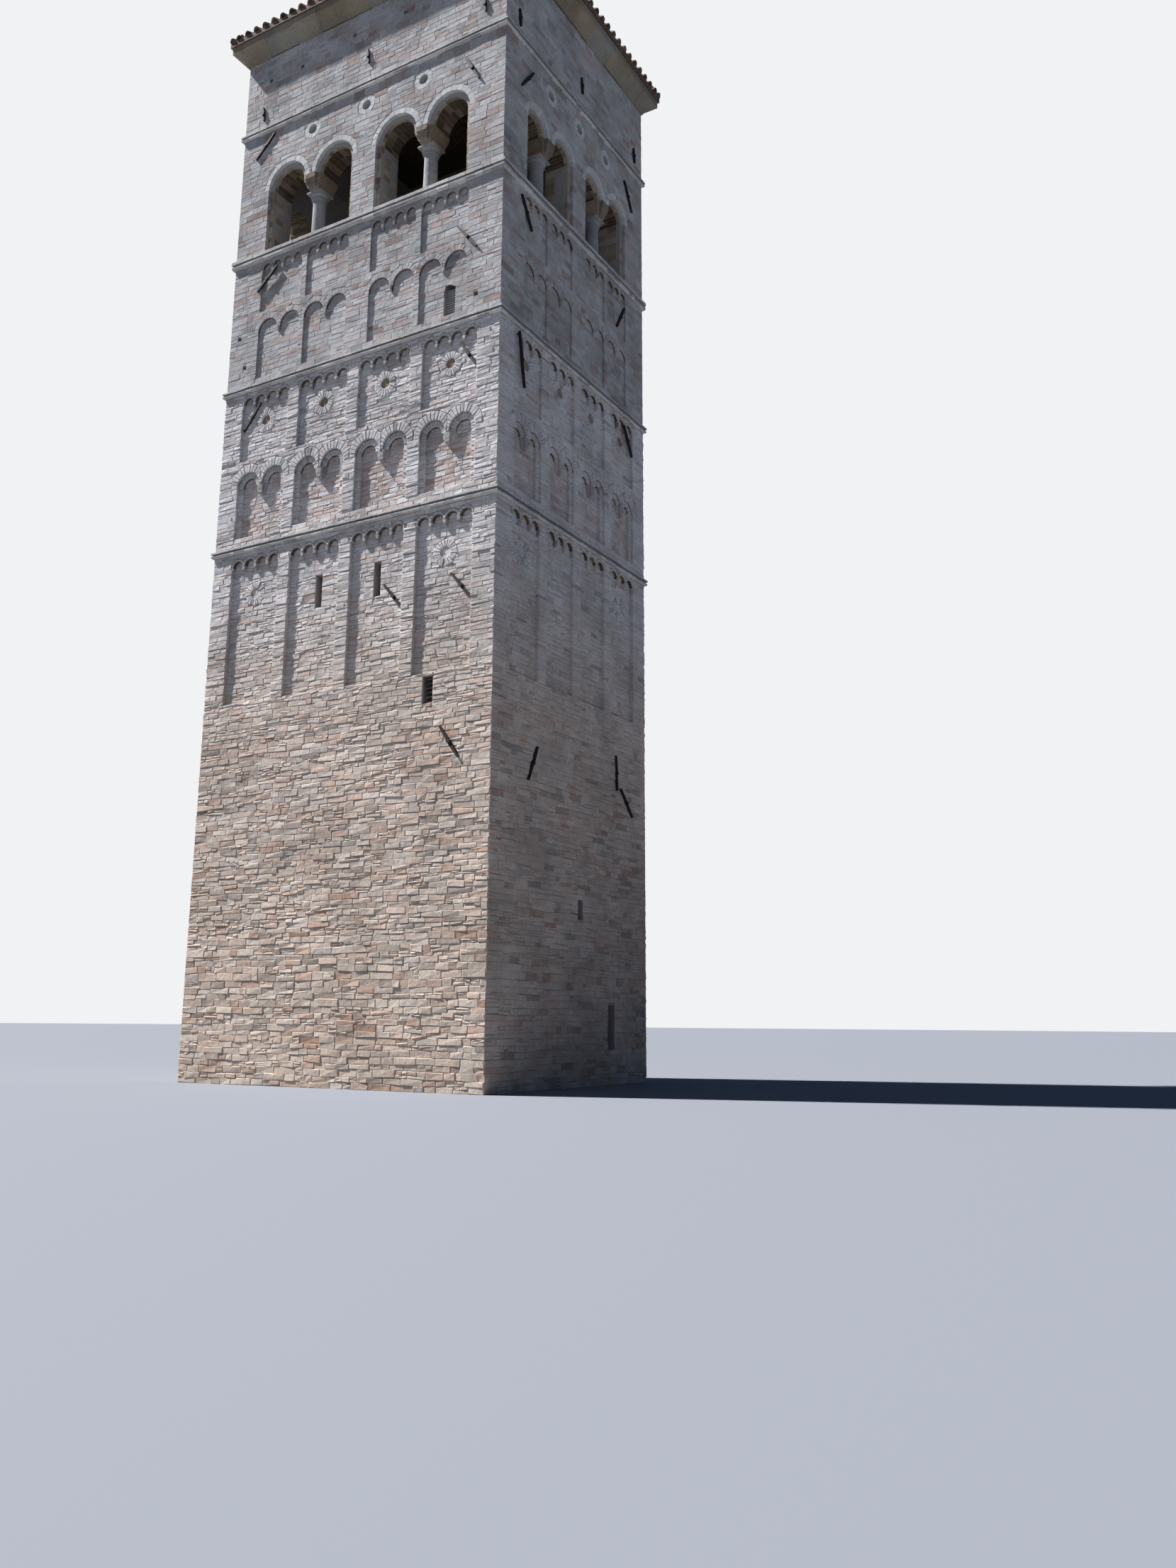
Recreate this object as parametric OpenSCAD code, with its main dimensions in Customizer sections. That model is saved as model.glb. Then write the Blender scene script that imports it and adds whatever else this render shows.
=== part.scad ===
// Stone bell tower on a rectangular plan, standing on level ground.
// The origin is the middle of the plan at ground level, X runs along the front,
// the front looks to -Y and Z is up. All lengths are millimetres.
// Each wall is drawn in its own frame: u runs from left to right as seen from outside,
// and the wall is then turned about the middle of the plan to its side of the tower.

/* [Plan] */
// Width of the front and the back
body_w = 9600; // [9000:50:10400]
// Width of the two other sides
body_d = 7920; // [7500:20:8600]
// Open mortar joint where two stones of one ring meet at a corner
joint_gap = 4; // [2:1:10]

/* [Wall thickness] */
// Plain walls at the foot
base_t = 1600; // [1400:50:1800]
// Walls of the lower arcade
lower_t = 1450; // [1350:50:1600]
// Walls of the middle arcade
middle_t = 1300; // [1200:50:1400]
// Walls of the upper arcade
upper_t = 1150; // [1050:50:1250]
// Walls of the bell chamber
belfry_t = 850; // [800:10:900]
// Walls above the bell chamber
attic_t = 700; // [600:50:800]

/* [Heights] */
// Plain foot, from the ground
base_h = 8900; // [8000:50:9000]
// Height of the lower arcade walls
lower_storey_h = 5460; // [5400:20:5900]
// Height of the middle arcade walls
middle_storey_h = 4750; // [4600:10:5000]
// Height of the upper arcade walls
upper_storey_h = 3990; // [3900:10:4200]
// Height of the piers of the bell chamber
pier_h = 2080; // [1950:10:2200]
// Height of the arch walls on those piers
arch_wall_h = 2040; // [1980:10:2200]
// Height of the plain walls under the eaves
attic_h = 2500; // [2300:20:2900]

/* [String courses] */
// Height of a moulded string course
string_h = 200; // [180:10:240]
// How far a string course stands out of the wall
string_out = 90; // [70:5:120]
// Height of the sill course under the bell chamber openings
sill_h = 300; // [260:10:340]
// Depth of the dark groove between the two lips of a course
groove_d = 60; // [40:5:80]
// Height of that groove
groove_h = 45; // [35:5:60]

/* [Arcades below] */
// Corner pier of the lower and middle arcades
corner_w = 680; // [640:10:760]
// Pilaster strip between two bays, front and back
strip_w = 385; // [340:5:430]
// Pilaster strip between two bays on the other sides
side_strip_w = 360; // [320:5:400]
// Depth of the panels of the lower arcade
lower_panel_d = 95; // [75:5:120]
// Depth of the panels of the middle arcade
middle_panel_d = 80; // [65:5:100]
// Foot of the lower panels above the plain foot
lower_panel_rise = 1100; // [1060:10:1400]
// Springing of the small arches below the top of the wall, lower arcade, front and back
lower_drop = 385; // [350:5:430]
// The same on the other sides
side_lower_drop = 290; // [270:5:330]
// The same in the middle arcade
middle_drop = 330; // [300:5:430]
// Width of the stone that hangs between two small arches
pendant_w = 110; // [90:5:130]
// How far that stone hangs below the springing
pendant_h = 185; // [150:5:220]
// Small arches to a bay, front and back
front_arches = 4; // [3:1:5]
// Small arches to a bay on the other sides
side_arches = 3; // [2:1:4]

/* [Twin arches of the middle arcade] */
// Foot of the niches above the string course
niche_rise = 270; // [220:10:320]
// Height of the niches' jambs
twin_jamb_h = 1550; // [1480:10:1620]
// Depth of the outer order
order_1_d = 60; // [50:5:80]
// Depth of the inner order behind it
order_2_d = 80; // [60:5:110]
// How far the inner order stands in
order_step = 150; // [120:5:170]
// Width of the hanging stone between the twin arches
twin_pendant_w = 100; // [80:5:130]
// Height of the corbel below the springing
twin_corbel_h = 330; // [280:10:380]
// Width of the corbel
twin_corbel_w = 240; // [200:10:280]
// Foot of the panels above the string course
middle_panel_rise = 2620; // [2580:10:2750]

/* [Upper arcade] */
// Corner pier of the upper arcade
upper_corner_w = 1080; // [1020:10:1140]
// Narrow strip inside each half
thin_strip_w = 160; // [130:5:190]
// Wide pier in the middle, front and back
mid_pier_w = 780; // [720:10:840]
// Wide pier in the middle of the other sides
side_mid_pier_w = 700; // [640:10:760]
// Depth of the upper arcade's panels and niches
upper_panel_d = 60; // [50:5:80]
// Foot of the upper niches above the string course
upper_niche_rise = 200; // [160:10:300]
// Height of the upper niches' jambs
upper_jamb_h = 1480; // [1400:10:1540]
// Foot of the panels above the string course
upper_panel_rise = 2330; // [2300:10:2420]
// Springing of the small arches below the top of the upper arcade walls
upper_drop = 250; // [220:5:280]

/* [Small openings] */
// Radius of the blind round recesses
blind_r = 150; // [120:5:180]
// Depth of the blind round recesses
blind_d = 160; // [120:5:200]
// Round recesses below the top of the wall, lower arcade
lower_blind_drop = 1240; // [1150:10:1350]
// Round recesses below the top of the wall, middle arcade
middle_blind_drop = 980; // [900:10:1050]
// How much higher they lie on the narrower sides
side_blind_lift = 150; // [0:10:200]
// Width of the slit windows at the outside
slit_w = 220; // [180:10:260]
// Width of the slit windows at the inside
slit_inner_w = 700; // [500:20:800]
// Height of the slit windows
slit_h = 940; // [800:10:1000]
// Foot of the slit windows above the plain foot
slit_rise = 3420; // [3300:10:3480]
// Distance of the left slit window from the middle of the front
left_slit_x = 920; // [800:10:1100]
// Distance of the right slit window from the middle of the front
right_slit_x = 1070; // [950:10:1200]
// Width of the small arched window
window_w = 360; // [320:10:400]
// Height of the small arched window's jambs
window_h = 850; // [800:10:900]
// Foot of the small arched window above the string course
window_rise = 250; // [210:10:350]
// Distance of the small window from the middle of the front
window_x = 3140; // [2900:10:3250]
// Width of the window closed with tiles
louvre_w = 310; // [280:10:340]
// Height of the window closed with tiles
louvre_h = 700; // [660:10:740]
// Foot of the window closed with tiles above the plain foot
louvre_rise = 320; // [250:10:360]
// Distance of that window from the middle of the front
louvre_x = 2880; // [2700:10:3000]
// Thickness of one tile in that window
louvre_t = 25; // [18:1:30]
// Number of tiles in that window
louvre_n = 6; // [5:1:8]
// Length of a plate of tile, front to back
louvre_d = 110; // [90:5:130]
// Slope of the plates of tile
louvre_tilt = 25; // [15:1:30]
// How far the plates stand back from the face
louvre_in = 60; // [40:5:90]
// Width of the side wall slits
side_slit_w = 250; // [220:10:280]
// Height of the upper side wall slit
side_slit_h = 520; // [450:10:600]
// Foot of the upper side wall slit
side_slit_z = 4180; // [4000:10:4300]
// Distance of the upper side slit from the middle of the side
side_slit_u = 300; // [200:10:400]
// Width of the low side slit
foot_slit_w = 360; // [320:10:400]
// Height of the low side slit
foot_slit_h = 1140; // [1000:10:1200]
// Foot of the low side slit
foot_slit_z = 900; // [800:10:1000]
// Distance of the low side slit from the middle of the side
foot_slit_u = 1950; // [1800:10:2100]
// Side of the square scaffold holes
putlog_w = 130; // [100:5:160]
// Depth of the scaffold holes
putlog_d = 200; // [150:10:240]

/* [Bell chamber] */
// Corner pier of the bell chamber
bell_corner_w = 1130; // [1080:10:1180]
// Wide pier between the two pairs of openings, front and back
bell_mid_w = 820; // [760:10:880]
// Wide pier between the two pairs of openings on the other sides
side_bell_mid_w = 710; // [660:10:760]
// Width of the stone above a column, between two arches
impost_w = 370; // [340:10:400]
// Depth of the outer order of an opening
bell_order_d = 100; // [80:5:120]
// How far the inner order stands in
bell_order_step = 140; // [120:5:160]
// Hole of the round openings above
eye_r = 150; // [130:5:170]
// Outside of the white ring round such an opening
eye_ring_r = 310; // [290:5:350]
// Depth of that ring in the wall
eye_ring_d = 250; // [200:10:300]
// Middle of the round openings below the top of the wall
eye_drop = 550; // [480:10:600]
// Thickness of the bell chamber's floor
floor_t = 240; // [200:10:280]

/* [Columns] */
// Diameter of a column's shaft at its foot
shaft_dia = 410; // [360:10:440]
// Narrowing of the shaft's radius at its top
shaft_taper = 15; // [5:1:30]
// Height of the plinth and base mouldings together
base_stone_h = 250; // [220:10:280]
// Side of the square plinth
plinth_w = 520; // [480:10:560]
// Height of the plinth
plinth_h = 90; // [70:5:110]
// Height of the capital
capital_h = 270; // [240:10:300]
// Height of the crutch block on the capital
crutch_h = 440; // [400:10:480]

/* [Roof] */
// How far the eaves cornice stands out at its top
cornice_out = 400; // [350:10:450]
// Height of the eaves cornice
cornice_h = 600; // [550:10:650]
// Height of the plain fillet at the cornice's top
fillet_h = 90; // [70:5:120]
// How far the tiles pass the cornice
tile_out = 60; // [40:5:90]
// Thickness of the roof, boards and tiles together
roof_t = 180; // [150:10:220]
// Rise of the roof in each 1000 of run
roof_pitch = 340; // [300:10:400]
// Radius of the ridge and hip tiles
cap_r = 130; // [110:5:160]

/* [Iron tie anchors] */
// Length of the long anchor bars
anchor_l = 960; // [850:10:1000]
// Length of the tallest bar, on the narrower sides
tall_anchor_l = 1500; // [1450:10:1600]
// Length of the short upright bars
short_anchor_l = 480; // [400:10:520]
// Width of an anchor bar
anchor_w = 55; // [40:5:70]
// Thickness of an anchor bar
anchor_t = 45; // [35:5:60]

/* [Hidden] */

$fn = 48;
FRONT = 0;
RIGHT = 1;
BACK = 2;
LEFT = 3;
cut = 20;

STONE = "#b9b2a8";
PALE_STONE = "#c9c6bd";
BROWN_STONE = "#8a7a55";
CLAY = "#b08a6e";
IRON = "#2b2523";
BOARDS = "#6b5a45";

lower_top = base_h + lower_storey_h;
lower_string_top = lower_top + string_h;
middle_top = lower_string_top + middle_storey_h;
middle_string_top = middle_top + string_h;
upper_top = middle_string_top + upper_storey_h;
sill_z = upper_top + sill_h;
spring_z = sill_z + pier_h;
belfry_top = spring_z + arch_wall_h;
upper_string_top = belfry_top + string_h;
attic_top = upper_string_top + attic_h;
eaves_z = attic_top + cornice_h;
eye_z = belfry_top - eye_drop;

// Size of a side and the distance of its face from the middle of the plan
function side_len(s) = s % 2 == 0 ? body_w : body_d;
function face_dist(s) = (s % 2 == 0 ? body_d : body_w) / 2;
function is_long(s) = s % 2 == 0;

// Bays of the lower and middle arcades
function strip(s) = is_long(s) ? strip_w : side_strip_w;
function bay_w(s) = (side_len(s) - 2 * corner_w - 3 * strip(s)) / 4;
function bay_u(s, i) = (i - 1.5) * (bay_w(s) + strip(s));
function arches_in_bay(s) = is_long(s) ? front_arches : side_arches;

function blind_lift(s) = is_long(s) ? 0 : side_blind_lift;

// Bays of the upper arcade, two to each half
function mid_pier(s) = is_long(s) ? mid_pier_w : side_mid_pier_w;
function upper_bay_w(s) = (side_len(s) - 2 * upper_corner_w - 2 * thin_strip_w - mid_pier(s)) / 4;
function upper_bay_u(s, i) =
    let (half = i < 2 ? -1 : 1, inner = i == 1 || i == 2)
    half * (mid_pier(s) / 2 + upper_bay_w(s) * (inner ? 0.5 : 1.5) + (inner ? 0 : thin_strip_w));

// Openings of the bell chamber, two to a pair and one pair to each half
function bell_mid(s) = is_long(s) ? bell_mid_w : side_bell_mid_w;
function light_w(s) = (side_len(s) - 2 * bell_corner_w - bell_mid(s) - 2 * impost_w) / 4;
function pair_u(s, i) = (i == 0 ? -1 : 1) * (bell_mid(s) / 2 + light_w(s) + impost_w / 2);
function light_u(s, i) =
    pair_u(s, i < 2 ? 0 : 1) + (i % 2 == 0 ? -1 : 1) * (impost_w + light_w(s)) / 2;
column_depth = (bell_order_d + belfry_t) / 2;

// Scaffold holes: distance in from the right end of the wall, or from the left end where it
// is negative, and up from the string course or down from the eaves
upper_putlogs = [[780, 570], [-350, 1670], [-630, 680]];
attic_putlogs = [[-930, 820], [-2200, 840], [-4220, 640], [3500, 690]];
function putlog_u(s, place) = sign(place[0]) * side_len(s) / 2 - place[0];

// Turns a shape drawn for the front to side s
module on_side(s) {
    rotate([0, 0, 90 * s]) children();
}

// A wall with mitred ends, its outer face on the face of the tower
module wall(s, z0, z1, t) {
    l = side_len(s) / 2;
    d = face_dist(s);
    translate([0, 0, z0]) linear_extrude(z1 - z0)
        polygon([[-l, -d], [l, -d], [l - t, t - d], [t - l, t - d]]);
}

// Cuts a flat outline, drawn in u and z, into the outer face down to a depth
module face_cut(s, depth) {
    translate([0, depth - face_dist(s), 0]) rotate([90, 0, 0])
        linear_extrude(depth + cut) children();
}

// An upright slot that widens to the inside of the wall
module splayed_slot(s, u, z0, z1, outer_w, inner_w, t) {
    translate([u, -face_dist(s), z0]) linear_extrude(z1 - z0)
        polygon([
            [-outer_w / 2, -cut], [outer_w / 2, -cut], [outer_w / 2, t / 4],
            [inner_w / 2, t + cut], [-inner_w / 2, t + cut], [-outer_w / 2, t / 4],
        ]);
}

// Outline of an arch's head over its springing
module arch_head(w, spring) {
    translate([0, spring]) intersection() {
        circle(d = w);
        translate([-w / 2, -joint_gap]) square([w, w]);
    }
}

// Outline of an opening with a round head: foot, springing and width are given
module round_headed(w, z0, spring) {
    translate([-w / 2, z0]) square([w, spring - z0]);
    translate([0, spring]) circle(d = w);
}

// Outline of a panel whose head is a row of n small arches on hanging stones
module arched_panel(w, z0, spring, n) {
    pitch = w / n;
    translate([-w / 2, z0]) square([w, spring - pendant_h - z0]);
    for (i = [0 : n - 1]) translate([(i - (n - 1) / 2) * pitch, 0])
        round_headed(pitch - pendant_w, z0, spring);
}

// Outline of a niche under two round arches that meet on a corbel in the middle
module twin_niche(w, z0, spring, stand_in, hanging_w, corbel_w, corbel_h) {
    span = (w - hanging_w) / 2;
    arch_w = span - 2 * stand_in;
    inner_edge = max(corbel_w / 2, w / 2 - stand_in - arch_w);
    translate([stand_in - w / 2, z0]) square([w - 2 * stand_in, spring - corbel_h - z0]);
    for (side = [-1, 1]) {
        translate([side * (w - span) / 2, 0]) arch_head(arch_w, spring);
        translate([side > 0 ? inner_edge : stand_in - w / 2, z0])
            square([w / 2 - stand_in - inner_edge, spring - z0]);
    }
}

// Rounds the lower front edge of the stones that hang in a bay, r deep and r high
module corbel_nose(s, w, z, r) {
    translate([-w / 2, -face_dist(s), z]) rotate([90, 0, 90]) linear_extrude(w) difference() {
        translate([-cut, -cut]) square([r + cut, r + cut]);
        translate([r, r]) circle(r = r);
    }
}

// A blind square hole left by a scaffold beam, its middle at u and z
module putlog(s, u, z) {
    translate([u, 0, z]) face_cut(s, putlog_d) square(putlog_w, center = true);
}

module base_wall(s) {
    color(STONE) on_side(s) difference() {
        wall(s, 0, base_h, base_t);
        if (s == RIGHT) {
            splayed_slot(s, side_slit_u, side_slit_z, side_slit_z + side_slit_h,
                side_slit_w, slit_inner_w, base_t);
            splayed_slot(s, foot_slit_u, foot_slit_z, foot_slit_z + foot_slit_h,
                foot_slit_w, slit_inner_w, base_t);
        }
    }
}

module lower_arcade(s) {
    w = bay_w(s);
    spring = lower_top - (is_long(s) ? lower_drop : side_lower_drop);
    blind_z = lower_top - lower_blind_drop + blind_lift(s);
    slit_z = base_h + slit_rise;
    color(STONE) on_side(s) difference() {
        wall(s, base_h, lower_top, lower_t);
        for (i = [0 : 3]) translate([bay_u(s, i), 0, 0]) {
            face_cut(s, lower_panel_d)
                arched_panel(w, base_h + lower_panel_rise, spring, arches_in_bay(s));
            corbel_nose(s, w, spring - pendant_h, lower_panel_d);
            if (i == 0 || i == 3)
                face_cut(s, lower_panel_d + blind_d) translate([0, blind_z]) circle(r = blind_r);
        }
        if (s == FRONT) {
            for (u = [-left_slit_x, right_slit_x])
                splayed_slot(s, u, slit_z, slit_z + slit_h, slit_w, slit_inner_w, lower_t);
            face_cut(s, lower_t + cut) translate([louvre_x - louvre_w / 2, base_h + louvre_rise])
                square([louvre_w, louvre_h]);
        }
    }
}

module middle_arcade(s) {
    w = bay_w(s);
    niche_z = lower_string_top + niche_rise;
    twin_spring = niche_z + twin_jamb_h;
    corbel_z = twin_spring - twin_corbel_h;
    spring = middle_top - middle_drop;
    blind_z = middle_top - middle_blind_drop + blind_lift(s);
    color(STONE) on_side(s) difference() {
        wall(s, lower_string_top, middle_top, middle_t);
        for (i = [0 : 3]) translate([bay_u(s, i), 0, 0]) {
            face_cut(s, order_1_d)
                twin_niche(w, niche_z, twin_spring, 0, twin_pendant_w, twin_corbel_w, twin_corbel_h);
            face_cut(s, order_1_d + order_2_d)
                twin_niche(w, niche_z, twin_spring, order_step, twin_pendant_w,
                    twin_corbel_w, twin_corbel_h);
            corbel_nose(s, w, corbel_z, order_1_d);
            face_cut(s, middle_panel_d)
                arched_panel(w, lower_string_top + middle_panel_rise, spring, arches_in_bay(s));
            corbel_nose(s, w, spring - pendant_h, middle_panel_d);
            face_cut(s, middle_panel_d + blind_d) translate([0, blind_z]) circle(r = blind_r);
        }
    }
}

module upper_arcade(s) {
    w = upper_bay_w(s);
    niche_z = middle_string_top + upper_niche_rise;
    twin_spring = niche_z + upper_jamb_h;
    spring = upper_top - upper_drop;
    window_z = middle_string_top + window_rise;
    color(STONE) on_side(s) difference() {
        wall(s, middle_string_top, upper_top, upper_t);
        for (i = [0 : 3]) translate([upper_bay_u(s, i), 0, 0]) {
            face_cut(s, upper_panel_d)
                twin_niche(w, niche_z, twin_spring, 0, twin_pendant_w, twin_pendant_w, pendant_h);
            corbel_nose(s, w, twin_spring - pendant_h, upper_panel_d);
            face_cut(s, upper_panel_d)
                arched_panel(w, middle_string_top + upper_panel_rise, spring, arches_in_bay(s));
            corbel_nose(s, w, spring - pendant_h, upper_panel_d);
        }
        if (is_long(s)) for (place = upper_putlogs)
            putlog(s, putlog_u(s, place), middle_string_top + place[1]);
        if (s == FRONT) translate([window_x, 0, 0])
            face_cut(s, upper_t + cut) round_headed(window_w, window_z, window_z + window_h);
    }
}

// One bar of a ring: a section drawn in depth and height, cut on the mitres
module ring_bar(s, out, t) {
    l = side_len(s) / 2;
    d = face_dist(s);
    reach = l + out;
    intersection() {
        translate([-reach, -d, 0]) rotate([90, 0, 90]) linear_extrude(2 * reach) children();
        linear_extrude(attic_top + 2 * cornice_h)
            polygon([
                [-reach + joint_gap, -d - out], [reach - joint_gap, -d - out],
                [l - t - joint_gap, t - d], [t - l + joint_gap, t - d],
            ]);
    }
}

// Section of a string course: two lips with a groove between them
module string_section(z0, h, t) {
    lip = (h - groove_h) / 2;
    polygon([
        [t, z0], [-string_out * 0.4, z0], [-string_out, z0 + lip * 0.5],
        [-string_out, z0 + lip], [groove_d - string_out, z0 + lip],
        [groove_d - string_out, z0 + lip + groove_h], [-string_out, z0 + lip + groove_h],
        [-string_out, z0 + h - 20], [-string_out * 0.6, z0 + h], [t, z0 + h],
    ]);
}

module string_course(z0, h, t) {
    color(PALE_STONE) for (s = [FRONT : LEFT])
        on_side(s) ring_bar(s, string_out, t) string_section(z0, h, t);
}

module belfry_floor() {
    color(BOARDS) translate([belfry_t - body_w / 2, belfry_t - body_d / 2, upper_top])
        cube([body_w - 2 * belfry_t, body_d - 2 * belfry_t, floor_t]);
}

// The four corner piers, each an angle in plan with stepped jambs
module belfry_corner_piers() {
    a = bell_corner_w;
    b = bell_corner_w + bell_order_step;
    c = bell_order_d;
    t = belfry_t;
    color(STONE) for (x = [-1, 1], y = [-1, 1])
        scale([x, y, 1]) translate([-body_w / 2, -body_d / 2, sill_z])
            linear_extrude(spring_z - sill_z)
                polygon([[0, 0], [a, 0], [a, c], [b, c], [b, t], [t, t], [t, b], [c, b], [c, a], [0, a]]);
}

module belfry_middle_piers() {
    color(STONE) for (s = [FRONT : LEFT]) on_side(s) {
        a = bell_mid(s) / 2;
        b = a + bell_order_step;
        translate([0, -face_dist(s), sill_z]) linear_extrude(spring_z - sill_z)
            polygon([
                [-a, 0], [a, 0], [a, bell_order_d], [b, bell_order_d], [b, belfry_t],
                [-b, belfry_t], [-b, bell_order_d], [-a, bell_order_d],
            ]);
    }
}

// Places its children at the axis of each of the eight columns
module at_columns() {
    for (s = [FRONT : LEFT], i = [0, 1])
        on_side(s) translate([pair_u(s, i), column_depth - face_dist(s), sill_z]) children();
}

shaft_r = shaft_dia / 2;
shaft_z0 = base_stone_h;
shaft_z1 = spring_z - sill_z - crutch_h - capital_h;

module column_bases() {
    roll = (base_stone_h - plinth_h) / 3;
    color(PALE_STONE) at_columns() {
        translate([-plinth_w / 2, -plinth_w / 2, 0]) cube([plinth_w, plinth_w, plinth_h]);
        translate([0, 0, plinth_h]) rotate_extrude() {
            square([plinth_w / 2 - roll / 2, roll]);
            translate([plinth_w / 2 - roll / 2, roll / 2]) circle(d = roll);
            square([shaft_r + roll / 2, 2 * roll]);
            translate([0, 2 * roll]) square([shaft_r + roll / 2, roll]);
            translate([shaft_r + roll / 2, 2.5 * roll]) circle(d = roll);
        }
    }
}

module column_shafts() {
    color(PALE_STONE) at_columns() translate([0, 0, shaft_z0])
        cylinder(r1 = shaft_r, r2 = shaft_r - shaft_taper, h = shaft_z1 - shaft_z0);
}

// Bell-shaped capital between the shaft and the crutch
module column_capitals() {
    neck_r = shaft_r - shaft_taper;
    ring_h = 40;
    bell_r = shaft_r + 70;
    slab_h = 60;
    bell_h = capital_h - ring_h - slab_h;
    color(PALE_STONE) at_columns() translate([0, 0, shaft_z1]) {
        rotate_extrude() {
            square([neck_r + ring_h / 2, ring_h]);
            translate([neck_r + ring_h / 2, ring_h / 2]) circle(d = ring_h);
            translate([0, ring_h]) difference() {
                square([bell_r, bell_h]);
                translate([bell_r + 20, 0]) circle(r = bell_r + 20 - neck_r);
            }
        }
        translate([-bell_r, -bell_r, capital_h - slab_h]) cube([2 * bell_r, 2 * bell_r, slab_h]);
    }
}

// Crutch block: it carries the deep wall on the slender column
module column_crutches() {
    foot_w = shaft_dia;
    foot_d = shaft_dia + 90;
    top_w = impost_w + 2 * bell_order_step;
    top_d = belfry_t;
    face_y = -column_depth;
    scroll_r = 60;
    color(PALE_STONE) at_columns() translate([0, 0, spring_z - sill_z - crutch_h]) intersection() {
        translate([0, belfry_t, 0]) rotate([90, 0, 0]) linear_extrude(2 * belfry_t)
            polygon([
                [-foot_w / 2, 0], [foot_w / 2, 0], [top_w / 2, crutch_h * 0.75],
                [top_w / 2, crutch_h], [-top_w / 2, crutch_h], [-top_w / 2, crutch_h * 0.75],
            ]);
        translate([-top_w, 0, 0]) rotate([90, 0, 90]) linear_extrude(2 * top_w) union() {
            polygon([
                [-foot_d / 2, 0], [foot_d / 2, 0], [top_d + face_y - 20, crutch_h * 0.4],
                [top_d + face_y, crutch_h * 0.55], [top_d + face_y, crutch_h],
                [face_y, crutch_h], [face_y, crutch_h * 0.55], [face_y + 20, crutch_h * 0.4],
            ]);
            translate([face_y + scroll_r + 5, crutch_h * 0.4]) circle(r = scroll_r);
            translate([top_d + face_y - scroll_r - 5, crutch_h * 0.4]) circle(r = scroll_r);
        }
    }
}

module belfry_arches(s) {
    color(STONE) on_side(s) difference() {
        wall(s, spring_z, belfry_top, belfry_t);
        for (i = [0 : 3]) translate([light_u(s, i), 0, 0]) {
            face_cut(s, bell_order_d)
                translate([0, spring_z]) circle(d = light_w(s));
            face_cut(s, belfry_t + cut)
                translate([0, spring_z]) circle(d = light_w(s) - 2 * bell_order_step);
        }
        for (u = [pair_u(s, 0), 0, pair_u(s, 1)]) translate([u, 0, 0]) {
            face_cut(s, eye_ring_d) translate([0, eye_z]) circle(r = eye_ring_r);
            face_cut(s, belfry_t + cut) translate([0, eye_z]) circle(r = eye_r);
        }
    }
}

module round_window_rings() {
    color(PALE_STONE) for (s = [FRONT : LEFT]) on_side(s)
        for (u = [pair_u(s, 0), 0, pair_u(s, 1)])
            translate([u, eye_ring_d - face_dist(s), eye_z]) rotate([90, 0, 0])
                linear_extrude(eye_ring_d) difference() {
                    circle(r = eye_ring_r);
                    circle(r = eye_r);
                }
}

module attic_wall(s) {
    color(STONE) on_side(s) difference() {
        wall(s, upper_string_top, attic_top, attic_t);
        if (is_long(s)) for (place = attic_putlogs)
            putlog(s, putlog_u(s, place), attic_top - place[1]);
    }
}

// Coved stone eaves: a hollow curve below a plain fillet, its top bedded to the roof
module cornice_section() {
    cove_h = cornice_h - fillet_h;
    difference() {
        polygon([
            [-cornice_out, attic_top], [attic_t, attic_top],
            [attic_t, eaves_z + roof_rise(cornice_out + attic_t)], [-cornice_out, eaves_z],
        ]);
        translate([-cornice_out - cove_h * 0.35, attic_top - cove_h * 0.35])
            circle(r = cove_h * 1.12);
    }
}

module eaves_cornice() {
    color(BROWN_STONE) for (s = [FRONT : LEFT])
        on_side(s) ring_bar(s, cornice_out, attic_t) cornice_section();
}

roof_out = cornice_out + tile_out;
roof_run = body_d / 2 + roof_out;
roof_half_w = body_w / 2 + roof_out;
function roof_rise(run) = run * roof_pitch / 1000;
roof_z = eaves_z - roof_rise(tile_out);

// Plan of one slope of the hipped roof
module slope_plan(s) {
    l = is_long(s) ? roof_half_w : roof_run;
    d = is_long(s) ? roof_run : roof_half_w;
    polygon([
        [-l, -d], [l, -d], [l - roof_run, roof_run - d], [roof_run - l, roof_run - d],
    ]);
}

module roof_slope(s) {
    d = is_long(s) ? roof_run : roof_half_w;
    l = is_long(s) ? roof_half_w : roof_run;
    color(CLAY) on_side(s) intersection() {
        translate([-l, -d, roof_z]) rotate([90, 0, 90]) linear_extrude(2 * l)
            polygon([
                [0, 0], [roof_run, roof_rise(roof_run)],
                [roof_run, roof_rise(roof_run) + roof_t], [0, roof_t],
            ]);
        linear_extrude(2 * eaves_z) slope_plan(s);
    }
}

// The whole mass under the tiles, used to seat the ridge and hip tiles
module roof_mass() {
    top = roof_rise(roof_run) + roof_t;
    intersection() {
        translate([-roof_half_w - cut, 0, roof_z]) rotate([90, 0, 90])
            linear_extrude(2 * roof_half_w + 2 * cut)
                polygon([
                    [-roof_run - cut, roof_t - roof_rise(cut)], [0, top],
                    [roof_run + cut, roof_t - roof_rise(cut)],
                    [roof_run + cut, -top], [-roof_run - cut, -top],
                ]);
        translate([0, roof_run + cut, roof_z]) rotate([90, 0, 0])
            linear_extrude(2 * roof_run + 2 * cut)
                polygon([
                    [-roof_half_w - cut, roof_t - roof_rise(cut)], [roof_run - roof_half_w, top],
                    [roof_half_w - roof_run, top], [roof_half_w + cut, roof_t - roof_rise(cut)],
                    [roof_half_w + cut, -top], [-roof_half_w - cut, -top],
                ]);
    }
}

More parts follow.
